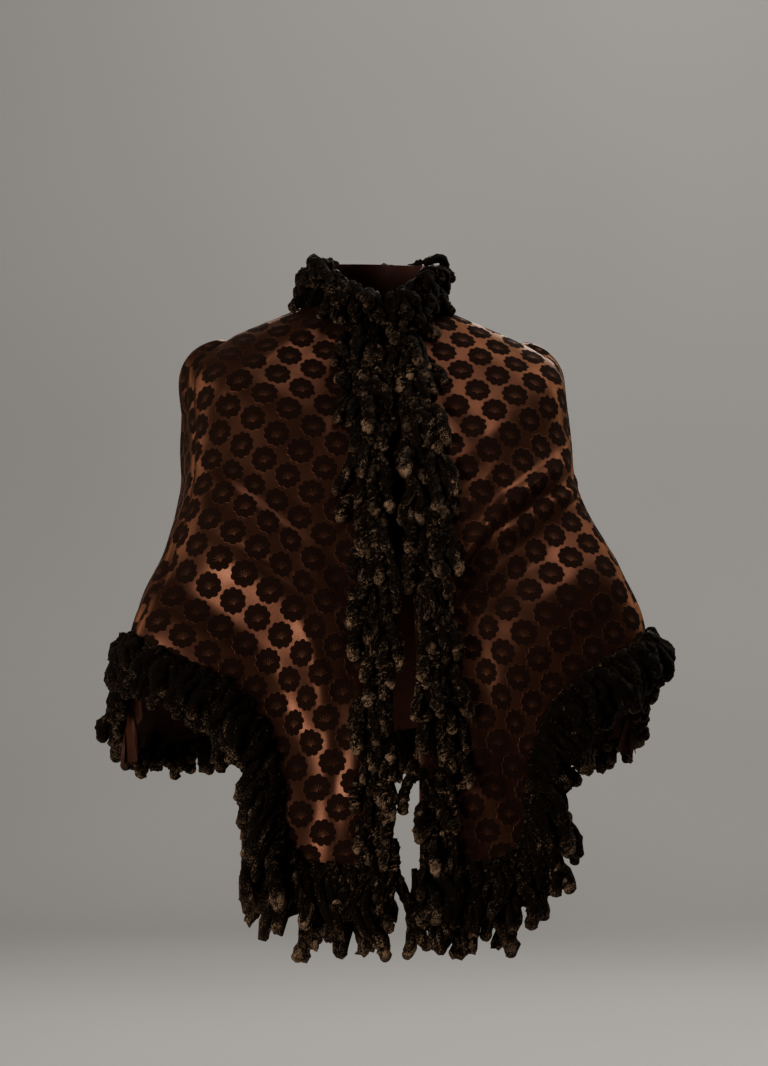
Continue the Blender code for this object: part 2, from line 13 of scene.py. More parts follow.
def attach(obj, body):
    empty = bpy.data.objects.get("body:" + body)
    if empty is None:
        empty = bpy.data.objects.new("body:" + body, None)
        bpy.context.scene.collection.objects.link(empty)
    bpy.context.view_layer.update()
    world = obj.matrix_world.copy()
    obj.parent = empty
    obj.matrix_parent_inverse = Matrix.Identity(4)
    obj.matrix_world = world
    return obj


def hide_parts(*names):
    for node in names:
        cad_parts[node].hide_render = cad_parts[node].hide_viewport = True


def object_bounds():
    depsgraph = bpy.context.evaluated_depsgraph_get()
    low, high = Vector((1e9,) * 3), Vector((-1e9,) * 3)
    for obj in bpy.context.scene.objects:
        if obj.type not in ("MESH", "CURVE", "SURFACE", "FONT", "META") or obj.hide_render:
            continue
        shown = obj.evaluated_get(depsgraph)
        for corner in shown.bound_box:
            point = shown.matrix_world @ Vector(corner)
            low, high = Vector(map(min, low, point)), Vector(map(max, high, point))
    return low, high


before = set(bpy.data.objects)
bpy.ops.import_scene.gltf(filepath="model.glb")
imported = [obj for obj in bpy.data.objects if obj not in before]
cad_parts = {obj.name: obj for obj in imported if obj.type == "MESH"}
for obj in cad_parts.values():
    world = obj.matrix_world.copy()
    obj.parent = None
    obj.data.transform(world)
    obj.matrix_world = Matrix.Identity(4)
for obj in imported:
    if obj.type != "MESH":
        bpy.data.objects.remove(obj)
CAD_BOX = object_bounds()

bl_info = {
    "name": "Visite mantle",
    "version": (1, 0, 0),
    "blender": (4, 5, 0),
    "location": "View3D > Sidebar > Mantle",
    "description": "Dresses the solids of a fringed mantle in velvet, satin and chenille",
    "category": "Add Mesh",
}

# The drape, ring by ring from the neck seam down: the same table that the solids are made from
Ring = namedtuple("Ring", "half_width y_front y_wide y_back z_front z_side z_back square_front square_back")
DRAPE = (
    Ring(0.058, -0.060, 0.000, 0.054, -0.010, 0.018, 0.026, 2.0, 2.0),
    Ring(0.104, -0.092, 0.000, 0.084, -0.062, 0.000, 0.002, 2.0, 2.0),
    Ring(0.162, -0.120, -0.008, 0.114, -0.118, -0.026, -0.052, 2.2, 2.1),
    Ring(0.202, -0.141, -0.014, 0.124, -0.166, -0.058, -0.112, 2.5, 2.2),
    Ring(0.209, -0.156, -0.028, 0.122, -0.210, -0.130, -0.176, 2.7, 2.3),
    Ring(0.213, -0.167, -0.055, 0.112, -0.244, -0.188, -0.234, 2.8, 2.4),
    Ring(0.235, -0.178, -0.092, 0.106, -0.290, -0.250, -0.290, 3.0, 2.3),
    Ring(0.268, -0.190, -0.124, 0.112, -0.345, -0.325, -0.345, 3.1, 2.2),
    Ring(0.284, -0.199, -0.115, 0.146, -0.440, -0.440, -0.440, 2.7, 2.1),
    Ring(0.292, -0.204, -0.090, 0.190, -0.630, -0.630, -0.630, 2.4, 2.1),
)
RINGS = np.array(DRAPE)

# Seams and lower edges, as places on the drape: degrees round from the front, and height
SHOULDER_ROW = 2.0
SHOULDER_ANGLE = 92.0
SLEEVE_TOP = (86.0, 99.0)
FRONT_PARTING = (0.0095, 0.0140)
FRONT_EDGE_ANGLE = 3.0
MIDDLE_BACK = 180.0
FRONT_HEM_Z = -0.582
BACK_HEM_Z = -0.468
SLEEVE_SEAM = ((83, -0.056), (78, -0.110), (76, -0.165), (79, -0.215), (83, -0.275), (86, -0.348))
SIDE_BACK_SEAM = ((118, -0.095), (134, -0.150), (147, -0.210), (156, -0.290), (154, -0.370), (150, -0.450))
FRONT_HEM = (
    (27, -0.587), (44, -0.583), (51, -0.566), (54.5, -0.530), (57, -0.493), (60, -0.462),
    (63.5, -0.434), (68, -0.409), (73, -0.388), (79, -0.367),
)
SLEEVE_HEM = ((92, -0.366), (99, -0.402), (107, -0.436), (118, -0.452), (134, -0.454))
BACK_HEM = ((162, -0.459), (172, -0.466))

# Folds that the solids have too, then finer creases that lie only in the cloth
Fold = namedtuple("Fold", "side angle_a z_a angle_b z_b width height")
FOLDS = (
    Fold(-1, 72, -0.170, 36, -0.430, 0.040, 0.011),
    Fold(-1, 80, -0.270, 54, -0.440, 0.022, -0.009),
    Fold(-1, 30, -0.400, 34, -0.590, 0.024, 0.006),
    Fold(1, 70, -0.145, 28, -0.300, 0.015, 0.008),
    Fold(1, 76, -0.185, 40, -0.370, 0.020, -0.007),
    Fold(1, 80, -0.240, 52, -0.420, 0.024, 0.008),
    Fold(1, 32, -0.380, 40, -0.590, 0.022, -0.006),
    Fold(-1, 106, -0.180, 110, -0.450, 0.020, -0.007),
    Fold(-1, 124, -0.230, 126, -0.470, 0.020, 0.009),
    Fold(-1, 140, -0.240, 140, -0.470, 0.018, -0.007),
    Fold(1, 108, -0.180, 106, -0.450, 0.020, -0.006),
    Fold(1, 122, -0.220, 124, -0.470, 0.020, 0.008),
    Fold(1, 141, -0.250, 138, -0.470, 0.018, -0.008),
    Fold(-1, 166, -0.320, 164, -0.490, 0.024, 0.006),
    Fold(1, 167, -0.320, 165, -0.490, 0.024, 0.007),
)
CREASES = (
    Fold(1, 64, -0.160, 46, -0.207, 0.0080, 0.0078),
    Fold(1, 47, -0.203, 33, -0.277, 0.0080, 0.0078),
    Fold(1, 80, -0.178, 60, -0.209, 0.0070, 0.0066),
    Fold(1, 48, -0.120, 25, -0.167, 0.0100, 0.0028),
    Fold(1, 45, -0.150, 28, -0.218, 0.0100, 0.0045),
    Fold(1, 62, -0.188, 45, -0.232, 0.0115, -0.0130),
    Fold(1, 46, -0.230, 34, -0.302, 0.0130, -0.0120),
    Fold(1, 66, -0.216, 47, -0.264, 0.0150, -0.0080),
    Fold(1, 49, -0.258, 36, -0.345, 0.0170, -0.0080),
    Fold(1, 58, -0.250, 46, -0.400, 0.0300, -0.0070),
    Fold(1, 12, -0.300, 16, -0.640, 0.0500, 0.0070),
    Fold(1, 39, -0.350, 37, -0.620, 0.0360, 0.0100),
    Fold(-1, 12, -0.280, 16, -0.640, 0.0500, 0.0135),
    Fold(-1, 74, -0.190, 65, -0.320, 0.0280, 0.0060),
    Fold(-1, 88, -0.322, 66, -0.398, 0.0350, 0.0120),
    Fold(-1, 66, -0.310, 46, -0.420, 0.0280, 0.0060),
    Fold(-1, 80, -0.305, 46, -0.480, 0.0260, -0.0060),
    Fold(1, 58, -0.330, 44, -0.500, 0.0120, 0.0012),
    Fold(1, 47, -0.420, 41, -0.560, 0.0100, -0.0012),
    Fold(1, 8, -0.360, 10, -0.640, 0.0300, 0.0030),
    Fold(1, 84, -0.262, 64, -0.372, 0.0090, 0.0030),
    Fold(-1, 75, -0.148, 44, -0.262, 0.0120, 0.0035),
    Fold(-1, 71, -0.235, 40, -0.345, 0.0100, -0.0035),
    Fold(-1, 62, -0.300, 41, -0.470, 0.0120, 0.0040),
    Fold(-1, 43, -0.470, 38, -0.580, 0.0120, 0.0030),
    Fold(-1, 26, -0.330, 24, -0.520, 0.0110, -0.0030),
    Fold(-1, 83, -0.300, 60, -0.402, 0.0090, 0.0030),
    Fold(-1, 58, -0.045, 72, -0.105, 0.0120, 0.0018),
    Fold(1, 62, -0.048, 70, -0.112, 0.0120, 0.0020),
    Fold(-1, 96, -0.100, 103, -0.250, 0.0100, 0.0030),
    Fold(-1, 113, -0.160, 117, -0.330, 0.0110, -0.0030),
    Fold(-1, 131, -0.300, 134, -0.455, 0.0100, 0.0030),
    Fold(1, 95, -0.110, 100, -0.270, 0.0100, 0.0028),
    Fold(1, 115, -0.150, 114, -0.310, 0.0120, -0.0030),
    Fold(1, 130, -0.280, 132, -0.450, 0.0100, 0.0032),
    Fold(-1, 150, -0.110, 172, -0.220, 0.0140, 0.0028),
    Fold(-1, 160, -0.240, 158, -0.400, 0.0120, -0.0028),
    Fold(1, 148, -0.120, 170, -0.245, 0.0140, 0.0030),
    Fold(1, 174, -0.280, 172, -0.450, 0.0120, 0.0025),
)
FOLD_END = 0.12
FOLD_RADIUS = 0.22

# Low waves of the hanging cloth, across and down in radians a metre
Wave = namedtuple("Wave", "share across down turn")
RIPPLES = (Wave(1.0, 71, 34, 1.0), Wave(1.0, 43, -88, 2.1), Wave(0.6, 118, 57, 4.0))
RIPPLE_HEIGHT = 0.0005

# Gathered sleeve head
SLEEVE_PUFF = 0.0096
PUFF_REACH = 0.22
PUFF_ROUND = 0.8
PUFF_RISE = 0.62
GATHER_DEPTH = 0.0022
GATHER_COUNT = 4
GATHER_REACH = 0.40

# Collar band, as half width, front, back, and heights at the front, side and back
COLLAR_FOOT = np.array((0.0585, -0.0605, 0.0545, -0.0081, 0.0199, 0.0279))
COLLAR_TOP = np.array((0.0545, -0.0580, 0.0500, 0.0240, 0.0620, 0.0660))
COLLAR_OPENING = 9.0

# How finely the cloth is divided, and how it meets its neighbours
FINE = 7
COARSE = 3
SEAM_ROWS = 14
ARMHOLE_ROWS = 2
ROWS = 16
NECK_COLUMNS = 7
SHOULDER_COLUMNS = 7
SLEEVE_COLUMNS = 16
TOP_EDGE_FADE = 3.0
SEAM_TUCK = 0.0005
SEAM_GAP = 0.0003
SEAM_DIP = 0.0024
SEAM_SPREAD = 0.0055
COLLAR_COLUMNS = 28
COLLAR_ROWS = 3
COLLAR_FINE = 4
LINING_TOP = 6
FLATTEN_ROUNDS = 1200
HALVINGS = 30
RUN_STEPS = 12
LINE_POINTS = 5
ROW_STEP = 0.02
ANGLE_STEP = 0.5
SHARP_EDGE = math.radians(55)

DOWN = np.array((0.0, 0.0, -1.0))
ACROSS = np.array((1.0, 0.0, 0.0))
SIDES = (-1, 1)


class MantleCloth(bpy.types.PropertyGroup):
    """Cloth of the panels and the lining."""
    wall: FloatProperty(name="Velvet wall", description="Thickness of the figured velvet",
                        default=0.0018, unit="LENGTH")
    lining_wall: FloatProperty(name="Lining wall", description="Thickness of the satin lining",
                               default=0.0010, unit="LENGTH")
    crease: FloatProperty(name="Crease depth", description="How strongly the fine creases show",
                          default=1.0, subtype="FACTOR")
    repeat_width: FloatProperty(name="Repeat width", description="Width of one repeat of the figure",
                                default=0.040, unit="LENGTH")
    repeat_height: FloatProperty(name="Repeat height", description="Height of one repeat of the figure",
                                 default=0.047, unit="LENGTH")
    flower: FloatProperty(name="Flower", description="Half the width of one velvet flower",
                          default=0.0142, unit="LENGTH")
    tilt: FloatProperty(name="Tilt", description="Turn of the figure on the fronts",
                        default=math.radians(11.0), subtype="ANGLE")
    petals: IntProperty(name="Petals", description="Petals round each flower", default=10)
    ground: FloatVectorProperty(name="Satin ground", description="Colour of the satin ground",
                                default=(0.098, 0.0395, 0.0232), subtype="COLOR")
    ground_dark: FloatVectorProperty(name="Worn ground", description="Colour of the satin where it is dull",
                                     default=(0.054, 0.0222, 0.0135), subtype="COLOR")
    pile: FloatVectorProperty(name="Velvet pile", description="Colour of the velvet flowers",
                              default=(0.0086, 0.0038, 0.0026), subtype="COLOR")
    lining: FloatVectorProperty(name="Lining", description="Colour of the lining",
                                default=(0.050, 0.018, 0.012), subtype="COLOR")


class MantleFringe(bpy.types.PropertyGroup):
    """Chenille cords and the headings that hold them."""
    thickness: FloatProperty(name="Cord", description="Half the thickness of a chenille cord",
                             default=0.0064, unit="LENGTH")
    braid: FloatProperty(name="Heading", description="Thickness of the ribbed heading",
                         default=0.0018, unit="LENGTH")
    loops: FloatProperty(name="Loops", description="Share of the cords that turn back as loops",
                         default=0.50, subtype="FACTOR")
    seed: IntProperty(name="Seed", description="Start of the uneven cords", default=11)
    core: FloatVectorProperty(name="Core", description="Colour deep in the pile",
                              default=(0.0028, 0.0019, 0.0015), subtype="COLOR")
    # Painted highlight: this golden-brown is painted glints and lit pile ends on the near-black chenille,
    # standing in for light that the fibres catch
    glint_tip: FloatVectorProperty(name="Tips", description="Colour of the pile's tips",
                             default=(0.235, 0.148, 0.090), subtype="COLOR")


class MantleStage(bpy.types.PropertyGroup):
    """Floor, light and camera."""
    floor: FloatProperty(name="Floor", description="Height of the floor", default=-1.30, unit="LENGTH")
    tone: FloatVectorProperty(name="Backdrop", description="Colour of the floor and backdrop",
                              default=(0.36, 0.35, 0.335), subtype="COLOR")
    key: FloatProperty(name="Key light", description="Power of the main light", default=84.0, unit="POWER")
    fill: FloatProperty(name="Fill light", description="Power of the fill light", default=38.0, unit="POWER")
    overhead: FloatProperty(name="Overhead light", description="Power of the light above",
                            default=8.0, unit="POWER")
    spot: FloatProperty(name="Spot light", description="Power of the narrow light on the folds",
                        default=190.0, unit="POWER")
    rim: FloatProperty(name="Side lights", description="Power of each light at the side",
                       default=24.0, unit="POWER")
    rear: FloatProperty(name="Rear light", description="Power of the light behind",
                        default=75.0, unit="POWER")
    azimuth: FloatProperty(name="Azimuth", description="Turn of the camera round the mantle",
                           default=math.radians(-9.5), subtype="ANGLE")
    distance: FloatProperty(name="Distance", description="Camera's distance", default=3.2, unit="LENGTH")
    lens: FloatProperty(name="Lens", description="Focal length in millimetres", default=98.2)


# Drape

def curve_through(values, position):
    """Smooth curve through evenly spaced rows of values, at positions counted in steps."""
    last = len(values) - 1
    step = np.clip(np.floor(position).astype(int), 0, last - 1)
    part = (position - step)[..., None]
    before = values[np.maximum(step - 1, 0)]
    start = values[step]
    end = values[step + 1]
    after = values[np.minimum(step + 2, last)]
    slope_start = 0.5 * (end - before)
    slope_end = 0.5 * (after - start)
    cubic = 2 * (start - end) + slope_start + slope_end
    square = 3 * (end - start) - 2 * slope_start - slope_end
    return ((cubic * part + square) * part + slope_start) * part + start


def drape_point(angle, row):
    """Points of the smooth drape on the wearer's left half."""
    ring = Ring(*np.moveaxis(curve_through(RINGS, row), -1, 0))
    across = np.abs(np.sin(np.radians(angle)))
    ahead = np.cos(np.radians(angle))
    front = ahead >= 0
    depth = np.where(front, ring.y_wide - ring.y_front, ring.y_back - ring.y_wide)
    power = np.where(front, ring.square_front, ring.square_back)
    reach = ((across / ring.half_width) ** power + (np.abs(ahead) / depth) ** power) ** (-1 / power)
    z_end = np.where(front, ring.z_front, ring.z_back)
    z = ring.z_side + (z_end - ring.z_side) * ahead ** 2
    return np.stack((reach * across, ring.y_wide - reach * ahead, z), axis=-1)


def row_at(angle, z):
    """Rows where the drape passes given heights."""
    high = np.zeros_like(angle)
    low = np.full_like(angle, len(DRAPE) - 1.0)
    for _ in range(HALVINGS):
        middle = 0.5 * (high + low)
        above = drape_point(angle, middle)[..., 2] > z
        high = np.where(above, middle, high)
        low = np.where(above, low, middle)
    return high


def on_drape(places):
    """Listed places as (angle, row) pairs."""
    places = np.array(places, dtype=float)
    return np.stack((places[:, 0], row_at(places[:, 0], places[:, 1])), axis=1)


def lengths_along(points):
    """Distance reached at each point of a line."""
    steps = np.linalg.norm(np.diff(points, axis=0), axis=1)
    return np.concatenate(([0.0], np.cumsum(steps)))


def at_lengths(goals, reached, line):
    """Points of a line at some distances along it."""
    return np.stack([np.interp(goals, reached, column) for column in line.T], axis=1)


def run_along(pairs, count):
    """Evenly spaced (angle, row) pairs along a smooth line through some, count steps long."""
    pairs = np.asarray(pairs, dtype=float)
    line = curve_through(pairs, np.linspace(0, len(pairs) - 1, (len(pairs) - 1) * RUN_STEPS + 1))
    reached = lengths_along(drape_point(line[:, 0], line[:, 1]))
    return at_lengths(np.linspace(0, reached[-1], count + 1), reached, line)


def join_runs(first, second):
    """Two runs end to end, their shared end once."""
    return np.concatenate((first, second[1:]))


def patch(top, bottom, left, right):
    """Grid of (angle, row) pairs between four edges, blended from all of them."""
    a = np.linspace(0, 1, len(top))[:, None, None]
    pull = (1 - np.linspace(0, 1, len(left))[None, :, None]) ** TOP_EDGE_FADE
    upper = top[:, None] - (1 - a) * top[0] - a * top[-1]
    lower = bottom[:, None] - (1 - a) * bottom[0] - a * bottom[-1]
    return (1 - a) * left[None] + a * right[None] + pull * upper + (1 - pull) * lower


def front_edge(fine):
    """Front edge from the neck seam to the hem, which keeps its parting from the middle."""
    share = np.linspace(0, 1, ROWS + 1)
    rows = row_at(np.array([FRONT_EDGE_ANGLE]), FRONT_HEM_Z) * share
    ring = Ring(*curve_through(RINGS, rows).T)
    parting = FRONT_PARTING[0] + (FRONT_PARTING[1] - FRONT_PARTING[0]) * share ** 2
    angles = np.degrees(np.arctan2(parting, ring.y_wide - ring.y_front))
    return run_along(np.stack((angles, rows), axis=1), ROWS * fine)


def panel_places(kind, fine):
    """Grid of places for one panel of the wearer's left half."""
    forward = np.vstack(((SLEEVE_TOP[0], SHOULDER_ROW), on_drape(SLEEVE_SEAM)))
    behind = np.vstack(((SLEEVE_TOP[1], SHOULDER_ROW), on_drape(SIDE_BACK_SEAM)))
    forward = run_along(forward, SEAM_ROWS * fine)
    behind = run_along(behind, SEAM_ROWS * fine)
    steps = np.linspace(0, SHOULDER_ROW, LINE_POINTS)
    shoulder = np.stack((np.full(LINE_POINTS, SHOULDER_ANGLE), steps), axis=1)
    shoulder = run_along(shoulder, SHOULDER_COLUMNS * fine)

    def neck(start, end):
        angles = np.linspace(start, end, LINE_POINTS)
        return run_along(np.stack((angles, np.zeros(LINE_POINTS)), axis=1), NECK_COLUMNS * fine)

    def armhole(start, end, count):
        return run_along(((start, SHOULDER_ROW), (end, SHOULDER_ROW)), count * fine)

    if kind == "front":
        edge = front_edge(fine)
        top = join_runs(neck(edge[0][0], SHOULDER_ANGLE), shoulder)
        side = join_runs(armhole(SHOULDER_ANGLE, SLEEVE_TOP[0], ARMHOLE_ROWS), forward)
        hem = np.vstack((edge[-1], on_drape(FRONT_HEM), forward[-1]))
        return patch(top, run_along(hem, len(top) - 1), edge, side)
    if kind == "sleeve":
        top = armhole(*SLEEVE_TOP, SLEEVE_COLUMNS)
        hem = np.vstack((forward[-1], on_drape(SLEEVE_HEM), behind[-1]))
        return patch(top, run_along(hem, SLEEVE_COLUMNS * fine), forward, behind)
    rows = row_at(np.array([MIDDLE_BACK]), BACK_HEM_Z) * np.linspace(0, 1, ROWS + 1)
    middle = run_along(np.stack((np.full(ROWS + 1, MIDDLE_BACK), rows), axis=1), ROWS * fine)
    top = join_runs(shoulder[::-1], neck(SHOULDER_ANGLE, MIDDLE_BACK))
    side = join_runs(armhole(SHOULDER_ANGLE, SLEEVE_TOP[1], ARMHOLE_ROWS), behind)
    hem = np.vstack((behind[-1], on_drape(BACK_HEM), middle[-1]))
    return patch(top, run_along(hem, len(top) - 1), side, middle)


def outward(angle, row):
    """Unit normals of the smooth drape."""
    high = np.minimum(row + ROW_STEP, len(DRAPE) - 1.0)
    low = np.maximum(row - ROW_STEP, 0.0)
    ahead = np.maximum(angle - ANGLE_STEP, 0)
    behind = np.minimum(angle + ANGLE_STEP, MIDDLE_BACK)
    round_it = drape_point(behind, row) - drape_point(ahead, row)
    down_it = drape_point(angle, high) - drape_point(angle, low)
    return unit(np.cross(down_it, round_it))


def unit(vectors):
    """Vectors at length one."""
    return vectors / np.maximum(np.linalg.norm(vectors, axis=-1, keepdims=True), 1e-12)


def relief(folds, side, angle, z):
    """Sum of folds at some places, each fading to nothing at its ends."""
    here = np.stack((np.radians(angle) * FOLD_RADIUS, z), axis=-1)
    total = np.zeros_like(z)
    for fold in folds:
        if fold.side != side:
            continue
        start = np.array((math.radians(fold.angle_a) * FOLD_RADIUS, fold.z_a))
        run = np.array((math.radians(fold.angle_b) * FOLD_RADIUS, fold.z_b)) - start
        along = ((here - start) @ run) / (run @ run)
        away = here - start - np.clip(along, 0, 1)[..., None] * run
        away = np.linalg.norm(away, axis=-1) / fold.width
        fade = np.sin(math.pi * np.clip(FOLD_END + (1 - 2 * FOLD_END) * along, 0, 1))
        total += fold.height * np.exp(-away * away) * fade
    return total


def ripple(side, angle, z):
    """Low unevenness of hanging cloth."""
    across = np.radians(angle) * FOLD_RADIUS
    waves = [wave.share * np.sin(wave.across * across + wave.down * z + wave.turn * side) for wave in RIPPLES]
    return RIPPLE_HEIGHT * sum(waves)


def sleeve_swell(a, b):
    """How far the sleeve head stands out, with its gathers, fading down the arm."""
    head = np.sin(math.pi * np.minimum(b / PUFF_REACH, 1) ** PUFF_RISE) * SLEEVE_PUFF
    fade = np.sin(math.pi * np.minimum(b / GATHER_REACH, 1))
    edge = np.maximum(np.sin(math.pi * a), 0)
    return head * edge ** PUFF_ROUND + GATHER_DEPTH * fade * edge * np.cos(2 * math.pi * GATHER_COUNT * a)


def seam_dip(kind, points):
    """How far the cloth is drawn in along its seams."""
    edges = [points[:, :1], points[-1:]]
    if kind != "front":
        edges.append(points[:1])
    gaps = [np.linalg.norm(points - edge, axis=-1) for edge in edges]
    return SEAM_DIP * np.exp(-(np.minimum.reduce(gaps) / SEAM_SPREAD) ** 2)


def lay_panel(kind, side, fine, crease):
    """Points of a panel's inner face and their outward normals."""
    places = panel_places(kind, fine)
    angle, row = places[..., 0], places[..., 1]
    points = drape_point(angle, row)
    z = points[..., 2]
    lift = relief(FOLDS, side, angle, z) + crease * (relief(CREASES, side, angle, z) + ripple(side, angle, z))
    if kind == "sleeve":
        a = np.linspace(0, 1, places.shape[0])[:, None]
        b = np.linspace(0, 1, places.shape[1])[None, :]
        lift = lift + sleeve_swell(a, b)
    lift = lift - crease * seam_dip(kind, points)
    points = points + outward(angle, row) * lift[..., None]
    points[..., 0] *= side
    points[:, 0] += unit(points[:, 1] - points[:, 0]) * SEAM_TUCK
    points[0] += unit(points[1] - points[0]) * SEAM_TUCK
    points[-1] += unit(points[-2] - points[-1]) * SEAM_TUCK
    return points, grid_normals(points, side)


def grid_normals(points, side):
    """Outward normal at each point of a grid."""
    run = np.gradient(points, axis=0)
    fall = np.gradient(points, axis=1)
    return unit(np.cross(fall, run)) * side


def collar_band(fine):
    """Points of the standing collar from one front end round the back to the other, and normals."""
    angle = np.radians(np.linspace(COLLAR_OPENING, 360 - COLLAR_OPENING, COLLAR_COLUMNS * fine + 1))[:, None]
    share = np.linspace(1, 0, COLLAR_ROWS * fine + 1)[None, :, None]
    edge = COLLAR_FOOT + (COLLAR_TOP - COLLAR_FOOT) * share
    half, y_front, y_back, z_front, z_side, z_back = np.moveaxis(edge, -1, 0)
    ahead = np.cos(angle)
    depth = np.where(ahead >= 0, -y_front, y_back)
    z = z_side + (np.where(ahead >= 0, z_front, z_back) - z_side) * ahead ** 2
    points = np.stack((half * np.sin(angle), -depth * ahead, z), axis=-1)
    return points, grid_normals(points, 1)


# Cutting out

def flatten(points, stride, grain):
    """Lay a grid of cloth flat with its threads' lengths kept: places on the cut piece, its size and area."""
    coarse = points[::stride, ::stride]
    columns, rows = coarse.shape[:2]
    index = np.arange(columns * rows).reshape(columns, rows)
    pairs = np.concatenate((
        np.stack((index[1:], index[:-1]), -1).reshape(-1, 2),
        np.stack((index[:, 1:], index[:, :-1]), -1).reshape(-1, 2),
        np.stack((index[1:, 1:], index[:-1, :-1]), -1).reshape(-1, 2),
        np.stack((index[1:, :-1], index[:-1, 1:]), -1).reshape(-1, 2),
    ))
    spots = coarse.reshape(-1, 3)
    length = np.linalg.norm(spots[pairs[:, 0]] - spots[pairs[:, 1]], axis=1)
    across = np.linalg.norm(np.diff(coarse, axis=0), axis=2).cumsum(0)
    across = np.concatenate((np.zeros((1, rows)), across))
    down = np.linalg.norm(np.diff(coarse, axis=1), axis=2).cumsum(1)
    down = np.concatenate((np.zeros((columns, 1)), down), axis=1)
    flat = np.stack((across, -down), -1).reshape(-1, 2)
    shared = np.bincount(pairs.ravel(), minlength=len(flat))[:, None]
    for _ in range(FLATTEN_ROUNDS):
        gap = flat[pairs[:, 0]] - flat[pairs[:, 1]]
        now = np.linalg.norm(gap, axis=1)
        move = gap * (0.5 * (length - now) / np.maximum(now, 1e-9))[:, None]
        shift = [
            np.bincount(pairs[:, 0], move[:, k], len(flat)) - np.bincount(pairs[:, 1], move[:, k], len(flat))
            for k in range(2)
        ]
        flat = flat + np.stack(shift, 1) / shared
    flat = flat.reshape(columns, rows, 2)
    line = flat[grain, -1] - flat[grain, 0]
    flat = turned(flat - flat[grain, 0], -math.pi / 2 - math.atan2(line[1], line[0]))
    one = flat[1:, 1:] - flat[:-1, :-1]
    two = flat[1:, :-1] - flat[:-1, 1:]
    area = 0.5 * np.abs(one[..., 0] * two[..., 1] - one[..., 1] * two[..., 0]).sum()
    size = np.ptp(flat.reshape(-1, 2), axis=0)
    along = curve_through(flat.reshape(columns, -1), np.arange(points.shape[0]) / stride)
    along = along.reshape(-1, rows, 2).swapaxes(0, 1)
    full = curve_through(along.reshape(rows, -1), np.arange(points.shape[1]) / stride)
    return full.reshape(points.shape[1], points.shape[0], 2).swapaxes(0, 1), size, area


def turned(places, angle):
    """Places in the flat turned about the origin."""
    spin = ((math.cos(angle), math.sin(angle)), (-math.sin(angle), math.cos(angle)))
    return places @ np.array(spin)


def grid_quads(columns, rows):
    """Faces of a grid of points."""
    index = np.arange(columns * rows).reshape(columns, rows)
    return np.stack((index[:-1, :-1], index[:-1, 1:], index[1:, 1:], index[1:, :-1]), -1).reshape(-1, 4)


def shell_object(name, outer, inner, flat, materials):
    """Closed shell of cloth: outer face in the first material, inside and edges in the second."""
    columns, rows = outer.shape[:2]
    count = columns * rows
    index = np.arange(count).reshape(columns, rows)
    face = grid_quads(columns, rows)
    loop = np.concatenate((index[:, 0], index[-1, 1:], index[-2::-1, -1], index[0, -2::-1]))
    rim = np.stack((loop[:-1], loop[1:], loop[1:] + count, loop[:-1] + count), -1)
    faces = np.concatenate((face, face[:, ::-1] + count, rim))
    verts = np.concatenate((outer.reshape(-1, 3), inner.reshape(-1, 3)))
    spread = np.cross(verts[face[:, 2]] - verts[face[:, 0]], verts[face[:, 3]] - verts[face[:, 1]])
    if (spread * (outer - inner)[:-1, :-1].reshape(-1, 3)).sum() < 0:
        faces = faces[:, ::-1]
    mesh = bpy.data.meshes.new(name)
    mesh.from_pydata(verts.tolist(), [], faces.tolist())
    places = np.tile(flat.reshape(-1, 2), (2, 1))
    layer = mesh.uv_layers.new(name="cut")
    layer.data.foreach_set("uv", places[faces.ravel()].ravel())
    second = np.ones(len(faces), dtype=np.int32)
    second[:len(face)] = 0
    mesh.polygons.foreach_set("material_index", second)
    for material in materials:
        mesh.materials.append(material)
    mesh.shade_smooth()
    mesh.set_sharp_from_angle(angle=SHARP_EDGE)
    return in_scene(name, mesh)


def in_scene(name, data):
    """New object in the scene."""
    made = bpy.data.objects.new(name, data)
    bpy.context.scene.collection.objects.link(made)
    return made


def sew_on(piece, slot, *nodes):
    """Put a finished piece in place of its solids."""
    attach(piece, "root")
    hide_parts(*nodes)


def cut_panels(kind, grain, cloth, tilt=0.0):
    """Both panels of a kind, as cut and draped."""
    for side in SIDES:
        name = kind + "_" + side_name(side)
        points, normals = lay_panel(kind, side, FINE, cloth.crease)
        flat, size, area = flatten(points, FINE, grain)
        made = shell_object("velvet_" + name, points + normals * cloth.wall, points, turned(flat, tilt),
                            (velvet_material(cloth), satin_material(cloth)))
        sew_on(made, "figured_velvet", name)


def side_name(side):
    """The wearer's side."""
    return "left" if side > 0 else "right"


# Materials

# Noise in the cloth, in waves a metre
SWAY_SCALE = 130.0
WEAR_SCALE = 16.0
NAP_SCALE = 900.0
WEAVE_SCALE = 420.0
THREAD_SCALE = 260.0
STAIN_SCALE = 22.0
FLUFF_SCALE = 640.0
PATCH_SCALE = 55.0

# The flower: its sway off the repeat, its scallops, and the fan of fine lines in it
SWAY = 0.0020
SCALLOP = 0.15
FLOWER_ROUND = 0.86
PILE_EDGE = (-0.0004, 0.0005)
FAN_FOOT = 0.0038
FAN_SPACING = 0.42
FAN_LINE = (0.00055, 0.00020)
FAN_LENGTH = (0.0085, 0.0060)
FAN_SPREAD = (1.5, 1.2)
FLOWER_EYE = (0.0014, 0.0008)

# Gloss and relief of the finishes
SATIN_ROUGH, SATIN_UNEVEN, SATIN_METAL = 0.37, 0.08, 0.90
PILE_ROUGH, PILE_RELIEF, NAP_LIGHT = 0.95, 0.0008, 2.1
LINING_ROUGH, LINING_UNEVEN, LINING_METAL = 0.42, 0.20, 0.20
THREAD_STRETCH, THREAD_RELIEF, STAIN_DARK = 6.0, 0.0003, 0.55
# Gain and range of the chenille's painted glints, then the depth of its bumps
PAINTED_GLINT_GAIN, PAINTED_GLINT_RANGE, CHENILLE_RELIEF = 2.2, (1.57, 2.25), 0.0022


def feed(tree, socket, value):
    """Link a socket, or set its value."""
    if isinstance(value, bpy.types.NodeSocket):
        tree.links.new(value, socket)
    else:
        socket.default_value = value


